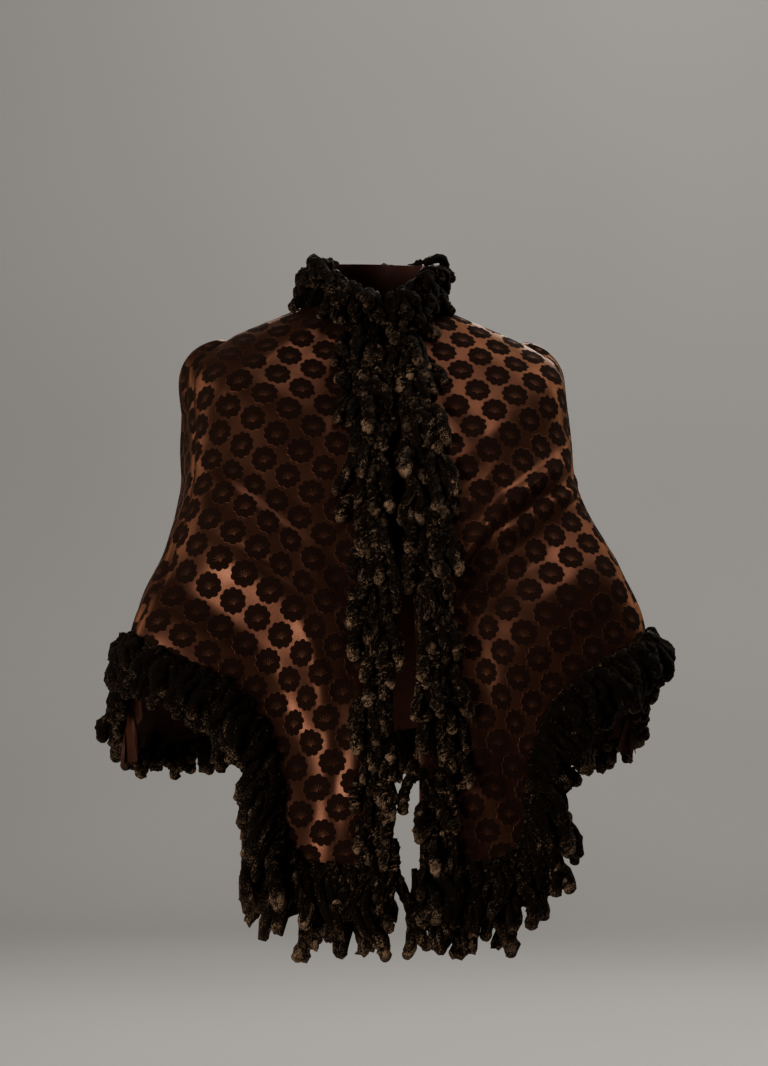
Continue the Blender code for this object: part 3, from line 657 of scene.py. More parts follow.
def calc(tree, operation, *values):
    """One step of arithmetic in a material."""
    node = tree.nodes.new("ShaderNodeMath")
    node.operation = operation
    for socket, value in zip(node.inputs, values):
        feed(tree, socket, value)
    return node.outputs[0]


def square_sum(tree, x, y):
    """Sum of two squares in a material."""
    return calc(tree, "ADD", calc(tree, "MULTIPLY", x, x), calc(tree, "MULTIPLY", y, y))


def between(tree, value, start, end, low=0.0, high=1.0):
    """A value spread smoothly from one range to another."""
    node = tree.nodes.new("ShaderNodeMapRange")
    node.interpolation_type = "SMOOTHSTEP"
    names = ("Value", "From Min", "From Max", "To Min", "To Max")
    for name, item in zip(names, (value, start, end, low, high)):
        feed(tree, node.inputs[name], item)
    return node.outputs["Result"]


def mixed(tree, share, first, second):
    """Two colours mixed by a share."""
    node = tree.nodes.new("ShaderNodeMix")
    node.data_type = "RGBA"
    feed(tree, node.inputs["Factor"], share)
    for socket, value in ((node.inputs[6], first), (node.inputs[7], second)):
        feed(tree, socket, value if isinstance(value, bpy.types.NodeSocket) else (*value, 1.0))
    return node.outputs[2]


def mottle(tree, vector, scale, detail=2.0):
    """Uneven grey noise."""
    node = tree.nodes.new("ShaderNodeTexNoise")
    node.inputs["Scale"].default_value = scale
    node.inputs["Detail"].default_value = detail
    tree.links.new(vector, node.inputs["Vector"])
    return node.outputs["Fac"]


def bumped(tree, height, depth, strength):
    """Normal from a height, in metres."""
    node = tree.nodes.new("ShaderNodeBump")
    node.inputs["Strength"].default_value = strength
    node.inputs["Distance"].default_value = depth
    tree.links.new(height, node.inputs["Height"])
    return node.outputs["Normal"]


def material_once(name, finish, sizes):
    """A material by its name, made the first time that it is asked for."""
    material = bpy.data.materials.get(name)
    if material is None:
        material = bpy.data.materials.new(name)
        material.use_nodes = True
        finish(material.node_tree, material.node_tree.nodes["Principled BSDF"], sizes)
    return material


def finish_of(shader, **values):
    """Constant values on a shader's own sockets."""
    for name, value in values.items():
        shader.inputs[name.replace("_", " ")].default_value = value


def cut_places(tree):
    """Places on the cut cloth."""
    node = tree.nodes.new("ShaderNodeUVMap")
    node.uv_map = "cut"
    return node.outputs["UV"]


def flower_figure(tree, place, cloth):
    """Half-drop of scalloped flowers: the pile's share and the fan of fine lines in it."""
    apart = tree.nodes.new("ShaderNodeSeparateXYZ")
    tree.links.new(place, apart.inputs[0])
    sway = calc(tree, "MULTIPLY_ADD", mottle(tree, place, SWAY_SCALE), SWAY, -SWAY / 2)
    near = []
    for shift in (0.0, 0.5):
        local = []
        for axis, size in ((0, cloth.repeat_width), (1, cloth.repeat_height)):
            value = calc(tree, "ADD", apart.outputs[axis], sway)
            value = calc(tree, "FRACT", calc(tree, "MULTIPLY_ADD", value, 1 / size, shift))
            local.append(calc(tree, "MULTIPLY_ADD", value, size, -0.5 * size))
        near.append((local, square_sum(tree, *local)))
    first = calc(tree, "LESS_THAN", near[0][1], near[1][1])
    x, y = (
        calc(tree, "MULTIPLY_ADD", first, calc(tree, "SUBTRACT", one, two), two)
        for one, two in zip(near[0][0], near[1][0])
    )
    away = calc(tree, "SQRT", calc(tree, "MINIMUM", near[0][1], near[1][1]))
    turn = calc(tree, "MULTIPLY", calc(tree, "ARCTAN2", y, x), cloth.petals / 2)
    lobe = calc(tree, "ABSOLUTE", calc(tree, "COSINE", turn))
    edge = calc(tree, "MULTIPLY_ADD", lobe, SCALLOP * cloth.flower, FLOWER_ROUND * cloth.flower)
    pile = between(tree, calc(tree, "SUBTRACT", edge, away), *PILE_EDGE)
    lower = calc(tree, "ADD", y, FAN_FOOT)
    fan = calc(tree, "ARCTAN2", x, lower)
    root = calc(tree, "SQRT", square_sum(tree, x, lower))
    spoke = calc(tree, "FRACT", calc(tree, "MULTIPLY_ADD", fan, 1 / FAN_SPACING, 0.5))
    spoke = calc(tree, "ABSOLUTE", calc(tree, "SUBTRACT", spoke, 0.5))
    spoke = calc(tree, "MULTIPLY", calc(tree, "MULTIPLY", spoke, FAN_SPACING), root)
    line = between(tree, spoke, *FAN_LINE)
    line = calc(tree, "MULTIPLY", line, between(tree, root, *FAN_LENGTH))
    line = calc(tree, "MULTIPLY", line, between(tree, calc(tree, "ABSOLUTE", fan), *FAN_SPREAD))
    line = calc(tree, "MAXIMUM", line, between(tree, root, *FLOWER_EYE))
    return pile, calc(tree, "MULTIPLY", line, pile)


def figured_velvet(tree, shader, cloth):
    """Satin ground with raised velvet flowers."""
    place = cut_places(tree)
    pile, line = flower_figure(tree, place, cloth)
    wear_and_painted_glint = between(tree, mottle(tree, place, WEAR_SCALE, 3.0), 0.32, 0.68)
    ground = mixed(tree, wear_and_painted_glint, cloth.ground_dark, cloth.ground)
    fluff = mottle(tree, place, NAP_SCALE, 3.0)
    lighter = [NAP_LIGHT * value for value in cloth.pile]
    nap = mixed(tree, between(tree, fluff, 0.35, 0.75), cloth.pile, lighter)
    raised = calc(tree, "MULTIPLY", pile, calc(tree, "MULTIPLY_ADD", line, -0.75, 1.0))
    tree.links.new(mixed(tree, raised, ground, nap), shader.inputs["Base Color"])
    weave = mottle(tree, place, WEAVE_SCALE, 1.0)
    satin = calc(tree, "MULTIPLY_ADD", weave, SATIN_UNEVEN, SATIN_ROUGH)
    dull = calc(tree, "SUBTRACT", PILE_ROUGH, satin)
    tree.links.new(calc(tree, "MULTIPLY_ADD", raised, dull, satin), shader.inputs["Roughness"])
    metal = calc(tree, "MULTIPLY_ADD", raised, -SATIN_METAL, SATIN_METAL)
    tree.links.new(metal, shader.inputs["Metallic"])
    tuft = calc(tree, "MULTIPLY_ADD", fluff, 0.5, 0.7)
    height = calc(tree, "MULTIPLY_ADD", raised, tuft, calc(tree, "MULTIPLY", weave, 0.12))
    tree.links.new(bumped(tree, height, PILE_RELIEF, 0.7), shader.inputs["Normal"])
    finish_of(shader, Specular_IOR_Level=0.06, Specular_Tint=(0.85, 0.66, 0.54, 1.0), Sheen_Weight=0.03,
              Sheen_Roughness=0.45, Sheen_Tint=(0.80, 0.38, 0.25, 1.0))


def lining_satin(tree, shader, cloth):
    """Plain brown satin."""
    place = cut_places(tree)
    stretch = tree.nodes.new("ShaderNodeMapping")
    stretch.inputs["Scale"].default_value = (THREAD_STRETCH, 1.0, 1.0)
    tree.links.new(place, stretch.inputs["Vector"])
    thread = mottle(tree, stretch.outputs["Vector"], THREAD_SCALE, 3.0)
    stain = between(tree, mottle(tree, place, STAIN_SCALE, 3.0), 0.30, 0.70)
    worn = mixed(tree, stain, [STAIN_DARK * value for value in cloth.lining], cloth.lining)
    tree.links.new(worn, shader.inputs["Base Color"])
    rough = calc(tree, "MULTIPLY_ADD", thread, LINING_UNEVEN, LINING_ROUGH)
    tree.links.new(rough, shader.inputs["Roughness"])
    tree.links.new(bumped(tree, thread, THREAD_RELIEF, 0.4), shader.inputs["Normal"])
    finish_of(shader, Metallic=LINING_METAL, Specular_IOR_Level=0.06)


def chenille_pile(tree, shader, fringe):
    """Deep brown pile, with golden-brown painted highlights: glints painted on its outer tufts, loop bends
    and lower ends.
    """
    pile = tree.nodes.new("ShaderNodeAttribute")
    pile.attribute_name = "pile"
    spot = tree.nodes.new("ShaderNodeTexCoord").outputs["Object"]
    fluff = mottle(tree, spot, FLUFF_SCALE, 3.0)
    painted_glint_patches = between(tree, mottle(tree, spot, PATCH_SCALE, 2.0), 0.35, 0.70, 0.25, 1.0)
    # Painted glints: fine noise and the painted highlight share from the mesh pick out lighter spots, thinned
    # in random patches, and mix the glint colour into the base colour
    painted_glints = calc(tree, "MULTIPLY_ADD", fluff, PAINTED_GLINT_GAIN, pile.outputs["Fac"])
    painted_glints = calc(tree, "MULTIPLY", between(tree, painted_glints, *PAINTED_GLINT_RANGE), painted_glint_patches)
    tree.links.new(mixed(tree, painted_glints, fringe.core, fringe.glint_tip), shader.inputs["Base Color"])
    tree.links.new(bumped(tree, fluff, CHENILLE_RELIEF, 1.0), shader.inputs["Normal"])
    finish_of(shader, Roughness=0.55, Specular_IOR_Level=0.05, Specular_Tint=(1.0, 0.76, 0.54, 1.0),
              Sheen_Weight=0.02, Sheen_Roughness=0.35, Sheen_Tint=(0.60, 0.36, 0.22, 1.0))


def backdrop_paper(tree, shader, stage):
    """Pale grey paper with a faint unevenness."""
    spot = tree.nodes.new("ShaderNodeTexCoord").outputs["Object"]
    shade = between(tree, mottle(tree, spot, 0.7, 1.0), 0.3, 0.7)
    darker = [0.92 * value for value in stage.tone]
    tree.links.new(mixed(tree, shade, darker, stage.tone), shader.inputs["Base Color"])
    finish_of(shader, Roughness=0.9, Specular_IOR_Level=0.1)


def velvet_material(cloth):
    """Outer face of the panels."""
    return material_once("figured velvet", figured_velvet, cloth)


def satin_material(cloth):
    """Lining, and the inside of the panels."""
    return material_once("lining satin", lining_satin, cloth)


# Fringe

# Each fringe: its cords, the width and inset of its heading, and the cords' length, sideways lean,
# plumpness, strength of the painted glints on each side, spread over the heading, and place in the order of
# uneven draws
Trim = namedtuple("Trim", "cords braid inset length lean plump wear_right wear_left reach draw")
FRONT_TRIM = Trim(150, 0.016, 0.002, 0.052, 0.80, 1.00, 1.00, 1.00, 2.2, 0)
HEM_TRIM = Trim(128, 0.012, 0.001, 0.102, 0.80, 1.16, 1.00, 0.84, 0.9, 10)
SLEEVE_TRIM = Trim(95, 0.012, 0.001, 0.062, 0.95, 1.06, 0.80, 1.00, 0.9, 20)
BACK_TRIM = Trim(90, 0.012, 0.001, 0.074, 0.22, 1.10, 0.80, 0.80, 0.9, 30)
HEADING_LIFT = 0.0004
ROOT_LIFT = 0.0012
RIB_PITCH = 0.0015
HEADING_SECTION = ((0.0, 0.0), (0.0, 0.7), (0.30, 1.0), (0.70, 1.0), (1.0, 0.7), (1.0, 0.0))

# Shape of the cords
CORD_STEPS = 20
CORD_SIDES = 12
SHORTEST = 0.55
UNEVEN_THICK = (0.82, 1.12)
BOWS = (0.20, 0.50, 0.80)
CURL = 0.80
HANG = 0.85
BOW_FADE = 1.5
SWING_TURN = 4.2
SWING_LIMIT = 1.3
HOOK_TURN = 3.4
HOOK_LIMIT = 0.6
LOOP_WIDTH = (0.0040, 0.0072)
LOOP_THIN = 0.76
# Spread of the painted highlight round a loop's bend, and where it starts towards a cord's lower end
LOOP_HIGHLIGHT_SPREAD = 0.13
END_HIGHLIGHT_START = 0.70
CAP = np.array((0.50, 0.87))
TWIST = 0.35

# Sideways pulls, and room left for the cloth
CORNER_SPLAY = 1.10
HEM_PULL = {-1: 1.0, 1: 1.35}
UNEVEN_PULL = 0.25
SLEEVE_PULL_BACK = 0.15
THROAT_CLOSE = 0.12
CORD_REST = 0.9
BESIDE_CLOTH = 0.003
UNDER_CLOTH = 0.03
PROUD = 0.004

# Collar's cords
COLLAR_CORDS = 160
COLLAR_DRAW = 40
COLLAR_PAINTED_GLINT = 0.6
COLLAR_LENGTH = 0.037
COLLAR_SHORTEST = 0.65
COLLAR_THICK = (0.80, 1.05)
COLLAR_BOW = 0.5
COLLAR_CURL = 0.7
COLLAR_REST = 0.8
COLLAR_ROOT = 0.001
COLLAR_OUT = 0.9
COLLAR_ASIDE = 0.8
COLLAR_RISE = 0.7
COLLAR_TOP_RISE = 0.55
COLLAR_LEVEL = 0.4
THROAT_SHARE = 0.20
THROAT_COLUMNS = 14
THROAT_OUT = 0.7
THROAT_DROP = 0.3


def body_tree(cloth):
    """Search tree of the outer faces of every panel and the collar."""
    panels = [(kind, side) for kind in ("front", "sleeve", "back") for side in SIDES]
    grids = [lay_panel(kind, side, COARSE, cloth.crease) for kind, side in panels]
    grids.append(collar_band(COARSE))
    verts = []
    faces = []
    for points, normals in grids:
        outer = points + normals * cloth.wall
        columns, rows = outer.shape[:2]
        quads = grid_quads(columns, rows) + len(verts)
        i, j = columns // 2, rows // 2
        spread = np.cross(outer[i, j + 1] - outer[i, j], outer[i + 1, j] - outer[i, j])
        if spread @ normals[i, j] < 0:
            quads = quads[:, ::-1]
        verts += outer.reshape(-1, 3).tolist()
        faces += quads.tolist()
    return BVHTree.FromPolygons(verts, faces)


def keep_outside(tree, paths, room):
    """Push the cords' centre lines out of the cloth."""
    for path, clear in zip(paths, room):
        for k in range(len(path)):
            spot = Vector(path[k])
            near, normal, _, _ = tree.find_nearest(spot)
            gap = (spot - near).dot(normal)
            beside = (spot - near - normal * gap).length
            if beside < BESIDE_CLOTH and -UNDER_CLOTH < gap < clear:
                path[k] = spot + normal * (clear - gap)
    paths[:, 1:-1] = 0.5 * paths[:, 1:-1] + 0.25 * (paths[:, :-2] + paths[:, 2:])
    low, high = (np.array(corner) for corner in CAD_BOX)
    return np.clip(paths, low - PROUD, high + PROUD)


def heading_lines(edge, inner, normals, trim, wall):
    """Lower and upper lines of a heading that lies along an edge, with the cloth's normals."""
    inward = unit(inner - edge)
    near = edge + normals * (wall + HEADING_LIFT) + inward * trim.inset
    return near, near + inward * trim.braid, normals


def roots_on(rng, heading, count, reach):
    """Uneven roots of cords on a heading: places, normals, directions along it and shares of its length."""
    near, far, normals = heading
    reached = lengths_along(near)
    share = np.clip((np.arange(count) + rng.uniform(0.1, 0.9, count)) / count, 0.004, 0.996)
    goal = share * reached[-1]
    depth = rng.uniform(0.05, reach, count)[:, None]
    lower, upper = at_lengths(goal, reached, near), at_lengths(goal, reached, far)
    normal = unit(at_lengths(goal, reached, normals))
    along = unit(at_lengths(goal, reached, np.gradient(near, axis=0)))
    return lower * (1 - depth) + upper * depth + normal * ROOT_LIFT, normal, along, share


def trail(rng, roots, normals, alongs, falls, lengths, rise, curl):
    """Centre lines of cords that leave their heading, bow outwards and hang."""
    count = len(roots)
    phase = rng.uniform(0, 2 * math.pi, (count, 2))
    swing = np.clip(rng.normal(0, curl, (count, 1)), -SWING_LIMIT, SWING_LIMIT)
    hook = np.clip(rng.normal(0, 0.6 * curl, (count, 1)), -HOOK_LIMIT, HOOK_LIMIT)
    spot = roots.copy()
    paths = np.zeros((count, CORD_STEPS, 3))
    for k, s in enumerate(np.linspace(0, 1, CORD_STEPS)):
        paths[:, k] = spot
        way = falls * (1 - HANG * s) + DOWN * HANG * s + normals * rise[:, None] * (1.0 - BOW_FADE * s)
        way = way + alongs * swing * np.sin(phase[:, :1] + SWING_TURN * s)
        way = way + normals * hook * np.sin(phase[:, 1:] + HOOK_TURN * s)
        spot = spot + unit(way) * (lengths / (CORD_STEPS - 1))[:, None]
    return paths


def turn_back(rng, paths, alongs, share):
    """Make loops of some cords, down the path and back beside it, and say which, and where each cord gets its
    painted highlight: round a loop's bend, and towards a single cord's lower end.
    """
    loops = rng.uniform(0, 1, len(paths)) < share
    s = np.linspace(0, 1, CORD_STEPS)
    reach = (1 - np.abs(2 * s - 1) ** 1.6) * (CORD_STEPS - 1)
    for k in np.flatnonzero(loops):
        wide = rng.uniform(*LOOP_WIDTH)
        bent = curve_through(paths[k], reach)
        paths[k] = bent + alongs[k] * (wide * np.sin(math.pi * (s - 0.5)))[:, None]
    # Painted highlight along each cord, standing in for the lit bends and lower ends
    painted_loop_highlight = np.exp(-((s - 0.5) / LOOP_HIGHLIGHT_SPREAD) ** 2)
    painted_end_highlight = np.clip((s - END_HIGHLIGHT_START) / 0.30, 0, 1)
    return paths, loops, np.where(loops[:, None], painted_loop_highlight, painted_end_highlight)


def cord_mesh(rng, paths, thick, alongs, worn, wear_and_painted_glint):
    """Plump tubes of pile along the centre lines: points, triangles and each point's painted highlight share,
    higher where the point stands out and near the lit bends and ends.
    """
    share = np.linspace(0, 1, paths.shape[1])
    tangent = unit(np.gradient(paths, axis=1))
    cap = paths[:, -1:] + tangent[:, -1:] * thick[:, None, None] * CAP[None, :, None]
    paths = np.concatenate((paths, cap), axis=1)
    tangent = np.concatenate((tangent, tangent[:, -1:], tangent[:, -1:]), axis=1)
    count, steps = paths.shape[:2]
    full = np.append(np.minimum(0.65 + 2.2 * share, 1.0), CAP[::-1])
    turn = np.linspace(0, 2 * math.pi, CORD_SIDES, endpoint=False)
    across = alongs
    rings = np.zeros((count, steps, CORD_SIDES, 3))
    tuft = rng.uniform(0, 1, (count, steps, CORD_SIDES)) ** 1.6
    tuft = 0.5 * tuft + 0.25 * (np.roll(tuft, 1, 1) + np.roll(tuft, 1, 2))
    tuft = tuft + 0.6 * rng.uniform(0, 1, tuft.shape) ** 5
    for k in range(steps):
        across = unit(across - tangent[:, k] * (across * tangent[:, k]).sum(1, keepdims=True))
        other = np.cross(tangent[:, k], across)
        spoke = across[:, None] * np.cos(turn + TWIST * k)[None, :, None]
        spoke = spoke + other[:, None] * np.sin(turn + TWIST * k)[None, :, None]
        radius = thick[:, None] * full[k] * (0.72 + 0.52 * tuft[:, k])
        rings[:, k] = paths[:, k, None] + spoke * radius[..., None]
    ends = np.stack((paths[:, 0], paths[:, -1] + tangent[:, -1] * thick[:, None] * 0.18), axis=1)
    verts = np.concatenate((rings.reshape(count, -1, 3), ends), axis=1)
    worn = np.concatenate((worn, worn[:, -1:], worn[:, -1:]), axis=1)
    # Painted highlight share: outer tufts and the painted lit bends and ends, scaled by the strength of
    # painted glint given for the fringe; worn here carries those painted highlights
    pile = (wear_and_painted_glint[:, None, None] * (0.75 * tuft + 0.50 * worn[..., None])).reshape(count, -1)
    # The root's end point gets no painted highlight, the cap's end point the full one
    pile = np.concatenate((pile, np.tile((0.0, 1.0), (count, 1))), axis=1)
    index = np.arange(steps * CORD_SIDES).reshape(steps, CORD_SIDES)
    beside = np.roll(index, -1, axis=1)
    other_way = ((np.arange(steps - 1)[:, None] + np.arange(CORD_SIDES)) % 2 == 1)[..., None]
    one, two, three, four = index[:-1], beside[:-1], beside[1:], index[1:]
    upper = np.where(other_way, np.stack((one, two, four), -1), np.stack((one, two, three), -1))
    lower = np.where(other_way, np.stack((two, three, four), -1), np.stack((one, three, four), -1))
    root, glint_tip = (np.full(CORD_SIDES, steps * CORD_SIDES + end) for end in (0, 1))
    tris = np.concatenate((
        upper.reshape(-1, 3), lower.reshape(-1, 3),
        np.stack((beside[0], index[0], root), -1), np.stack((index[-1], beside[-1], glint_tip), -1),
    ))
    tris = tris[None] + (np.arange(count) * verts.shape[1])[:, None, None]
    return verts.reshape(-1, 3), tris.reshape(-1, 3), pile.ravel()


def braid_mesh(heading, thickness):
    """Ribbed heading along two lines: points, triangles and each point's painted highlight share, higher on
    the raised middle of the heading.
    """
    reached = lengths_along(heading[0])
    goal = np.linspace(0, reached[-1], max(int(reached[-1] / RIB_PITCH), 4))
    near, far, normals = (at_lengths(goal, reached, line) for line in heading)
    rib = 0.65 + 0.35 * (np.arange(len(goal)) % 2)
    rings = [near + (far - near) * a + normals * (h * thickness * rib)[:, None] for a, h in HEADING_SECTION]
    sides = len(HEADING_SECTION)
    verts = np.stack(rings, axis=1).reshape(-1, 3)
    index = np.arange(len(goal) * sides).reshape(len(goal), sides)
    beside = np.roll(index, -1, axis=1)
    tris = [
        np.stack((index[:-1], beside[:-1], beside[1:]), -1).reshape(-1, 3),
        np.stack((index[:-1], beside[1:], index[1:]), -1).reshape(-1, 3),
    ]
    for end, order in ((index[0], -1), (index[-1], 1)):
        fan = np.stack((np.full(sides - 2, end[0]), end[1:-1], end[2:]), -1)
        tris.append(fan[:, ::order])
    tris = np.concatenate(tris)
    triple = verts[tris[0]]
    facing = np.cross(triple[1] - triple[0], triple[2] - triple[0])
    if facing @ (triple.mean(0) - verts[:sides].mean(0)) < 0:
        tris = tris[:, ::-1]
    # Painted highlight share, greater where the heading stands higher
    return verts, tris, np.tile([0.1 + 0.5 * h for _, h in HEADING_SECTION], len(goal))


def fringe_object(name, parts, fringe, node):
    """One piece from several runs of triangles."""
    verts, tris, pile = [], [], []
    start = 0
    for points, faces, tone in parts:
        verts.append(points)
        tris.append(faces + start)
        pile.append(tone)
        start += len(points)
    mesh = bpy.data.meshes.new(name)
    mesh.from_pydata(np.concatenate(verts).tolist(), [], np.concatenate(tris).tolist())
    # The pile attribute carries the painted highlight share into the chenille material
    tone = mesh.attributes.new("pile", "FLOAT", "POINT")
    tone.data.foreach_set("value", np.concatenate(pile))
    mesh.materials.append(material_once("chenille pile", chenille_pile, fringe))
    mesh.shade_smooth()
    sew_on(in_scene(name, mesh), "chenille", node)


def plump_cords(rng, paths, alongs, thickness, uneven, rest, wear_and_painted_glint, fringe, tree):
    """Cords of pile on their centre lines, some of them looped, kept off the cloth."""
    # The third list from turn_back is the painted highlight along each cord
    paths, loops, worn = turn_back(rng, paths, alongs, fringe.loops)
    thick = thickness * rng.uniform(*uneven, len(paths)) * np.where(loops, LOOP_THIN, 1.0)
    paths = keep_outside(tree, paths, thick * rest)
    return cord_mesh(rng, paths, thick, alongs, worn, wear_and_painted_glint)


def hang_fringe(rng, heading, trim, side, lean, fringe, tree, reach_of=np.ones_like):
    """Cords and heading of one hanging fringe. lean gives the cords' sideways pull."""
    roots, normals, alongs, share = roots_on(rng, heading, trim.cords, trim.reach)
    falls = DOWN + lean(rng, side, share, alongs)
    falls = unit(falls - normals * (falls * normals).sum(1, keepdims=True))
    lengths = trim.length * reach_of(share) * rng.uniform(SHORTEST, 1.0, trim.cords)
    rise = rng.choice(BOWS, trim.cords) * rng.uniform(0.8, 1.2, trim.cords)
    paths = trail(rng, roots, normals, alongs, falls, lengths, rise, CURL)
    # Strength of the painted glints for this side, less on the shorter cords
    wear_and_painted_glint = (trim.wear_left if side > 0 else trim.wear_right) * reach_of(share)
    thickness = fringe.thickness * trim.plump
    cords = plump_cords(rng, paths, alongs, thickness, UNEVEN_THICK, CORD_REST, wear_and_painted_glint, fringe, tree)
    return [cords, braid_mesh(heading, fringe.braid)]


def sew_fringes(scene, name, panel, edge_first, trim, lean, reach_of=np.ones_like):
    """Both fringes along one kind of edge. edge_first turns a panel's grid so that the edge comes first."""
    cloth = scene.mantle_cloth
    fringe = scene.mantle_fringe
    tree = body_tree(cloth)
    for side in SIDES:
        rng = np.random.default_rng(fringe.seed + trim.draw + side)
        points, normals = (edge_first(grid) for grid in lay_panel(panel, side, FINE, cloth.crease))
        heading = heading_lines(points[0], points[FINE], normals[0], trim, cloth.wall)
        parts = hang_fringe(rng, heading, trim, side, lean, fringe, tree, reach_of)
        fringe_object("chenille_" + name + "_" + side_name(side), parts, fringe,
                      name + "_fringe_" + side_name(side))


def front_first(grid):
    """A front's grid with its front edge first."""
    return grid


def hem_first(grid):
    """A panel's grid with its lower edge first."""
    return grid.swapaxes(0, 1)[::-1]


def shorter_up(share):
    """How the hem's cords shorten from the tab up to the sleeve."""
    return 1 - 0.42 * np.clip((share - 0.30) / 0.45, 0, 1)


def shorter_corner(share):
    """How the sleeve's cords shorten towards its front corner."""
    return 0.66 + 0.34 * np.clip((share - 0.10) / 0.50, 0, 1)


def steepness(alongs):
    """How steeply a heading climbs, from 0 on the level to 1."""
    return np.abs(alongs[:, 2])


def lean_front(rng, side, share, alongs):
    """Front cords fall to either side of their edge, and close over the throat."""
    pull = rng.uniform(0.0, 1.1, len(share))
    closed = np.exp(-share / THROAT_CLOSE)
    inward = rng.uniform(0, 1, len(share)) < 0.30 + 0.35 * closed
    pull = np.where(inward, -rng.uniform(0.1, 0.75, len(share)) * (1 + 0.8 * closed), pull)
    return (pull * FRONT_TRIM.lean * side)[:, None] * ACROSS


def lean_hem(rng, side, share, alongs):
    """Hem cords lean outwards where the hem climbs, and splay at the sleeve."""
    pull = steepness(alongs) + CORNER_SPLAY * np.exp((share - 1) * 6.5)
    pull = (pull + rng.normal(0, UNEVEN_PULL, len(share))) * HEM_PULL[side]
    return (pull * HEM_TRIM.lean * side)[:, None] * ACROSS


def lean_sleeve(rng, side, share, alongs):
    """Sleeve cords splay outwards at the front corner."""
    pull = steepness(alongs) + CORNER_SPLAY * np.exp(-4.0 * share)
    pull = pull + rng.normal(0, UNEVEN_PULL, len(share))
    return (pull * SLEEVE_TRIM.lean)[:, None] * np.array((side, SLEEVE_PULL_BACK, 0.0))


def lean_back(rng, side, share, alongs):
    """Back cords hang a little unevenly."""
    return rng.normal(0, BACK_TRIM.lean, len(share))[:, None] * ACROSS


# Worn lining: how it hangs below the sleeve's edge, and where and how far it is torn
LINING_DROP = 0.004
LINING_SAG = 0.014
TEAR_PLACE = 0.22
TEAR_WIDTH = 0.12
TEAR_DROP = {-1: 0.060, 1: 0.064}
TEAR_WHOLE = 0.85
TEAR_NOTCH = 0.15
TEAR_NOTCHES = 37
TEAR_SPLAY = (0.85, -0.50)
FLUTTER = 0.0030
FLUTTER_TORN = 0.16
FLUTTERS = 48
CRUMPLE = 0.007
CRUMPLES = 90
CRUMPLE_WAY = np.array((0.3, 1.0, 0.3))


def hanging_lining(inside, normals, side):
    """A lining's grid carried on below the sleeve's edge, torn and crumpled near the front corner."""
    a = np.linspace(0, 1, len(inside))
    torn = np.exp(-((a - TEAR_PLACE) / TEAR_WIDTH) ** 2) * TEAR_DROP[side]
    torn = torn * (TEAR_WHOLE + TEAR_NOTCH * np.sign(np.sin(TEAR_NOTCHES * a + side)))
    loose = torn / torn.max()
    drop = LINING_DROP + LINING_SAG * np.sin(math.pi * a) + torn
    fall = unit(unit(inside[:, -1] - inside[:, -3]) + 0.6 * DOWN)
    flutter = (FLUTTER + FLUTTER_TORN * torn) * np.sin(FLUTTERS * a + 2 * side)
    beside = (a - TEAR_PLACE) * lengths_along(inside[:, -1])[-1] * loose
    crumple = CRUMPLE * np.sin(CRUMPLES * a + side) * loose
    splay = np.array((TEAR_SPLAY[0] * side, TEAR_SPLAY[1], 0.0))
    move = fall * drop[:, None] - normals * np.abs(flutter)[:, None]
    move = move + beside[:, None] * splay + crumple[:, None] * CRUMPLE_WAY
    steps = np.linspace(0, 1, FINE + 1)[1:]
    below = inside[:, -1:] + move[:, None] * steps[None, :, None]
    return np.concatenate((inside, below), axis=1)


def across_back(halves, row):
    """One row of the two halves of the back, joined at the middle seam."""
    one, other = (half[:, row] for half in halves)
    return np.concatenate((one[:-1], (one[-1:] + other[-1:]) / 2, other[-2::-1]))


def collar_cords(rng, points, normals, cloth, fringe):
    """Short curling cords all over the collar, some of them closing over the throat."""
    columns, rows = points.shape[:2]
    i = rng.integers(1, columns - 1, COLLAR_CORDS)
    throat = np.where(rng.uniform(0, 1, COLLAR_CORDS) < THROAT_SHARE, rng.choice(SIDES, COLLAR_CORDS), 0)
    near_end = rng.integers(1, THROAT_COLUMNS, COLLAR_CORDS)
    i = np.where(throat < 0, near_end, np.where(throat > 0, columns - 1 - near_end, i))
    j = rng.integers(0, rows - 1, COLLAR_CORDS)
    normal = normals[i, j]
    along = unit(points[i + 1, j] - points[i - 1, j])
    roots = points[i, j] + normal * (cloth.wall + COLLAR_ROOT)
    height = 1 - j / (rows - 1)
    rise = rng.uniform(-COLLAR_RISE, COLLAR_RISE, COLLAR_CORDS) + COLLAR_TOP_RISE * (height - COLLAR_LEVEL)
    aside = along * rng.uniform(-COLLAR_ASIDE, COLLAR_ASIDE, (COLLAR_CORDS, 1))
    ways = normal * COLLAR_OUT - DOWN * rise[:, None] + aside
    over = normal * THROAT_OUT + along * throat[:, None] + DOWN * THROAT_DROP
    ways = np.where(throat[:, None] != 0, over, ways)
    lengths = COLLAR_LENGTH * rng.uniform(COLLAR_SHORTEST, 1.0, COLLAR_CORDS)
    bow = np.full(COLLAR_CORDS, COLLAR_BOW)
    paths = trail(rng, roots, normal, along, unit(ways), lengths, bow, COLLAR_CURL)
    # Weaker painted glints on the collar's cords
    wear_and_painted_glint = np.full(COLLAR_CORDS, COLLAR_PAINTED_GLINT)
    return plump_cords(rng, paths, along, fringe.thickness, COLLAR_THICK, COLLAR_REST, wear_and_painted_glint, fringe,
                       body_tree(cloth))


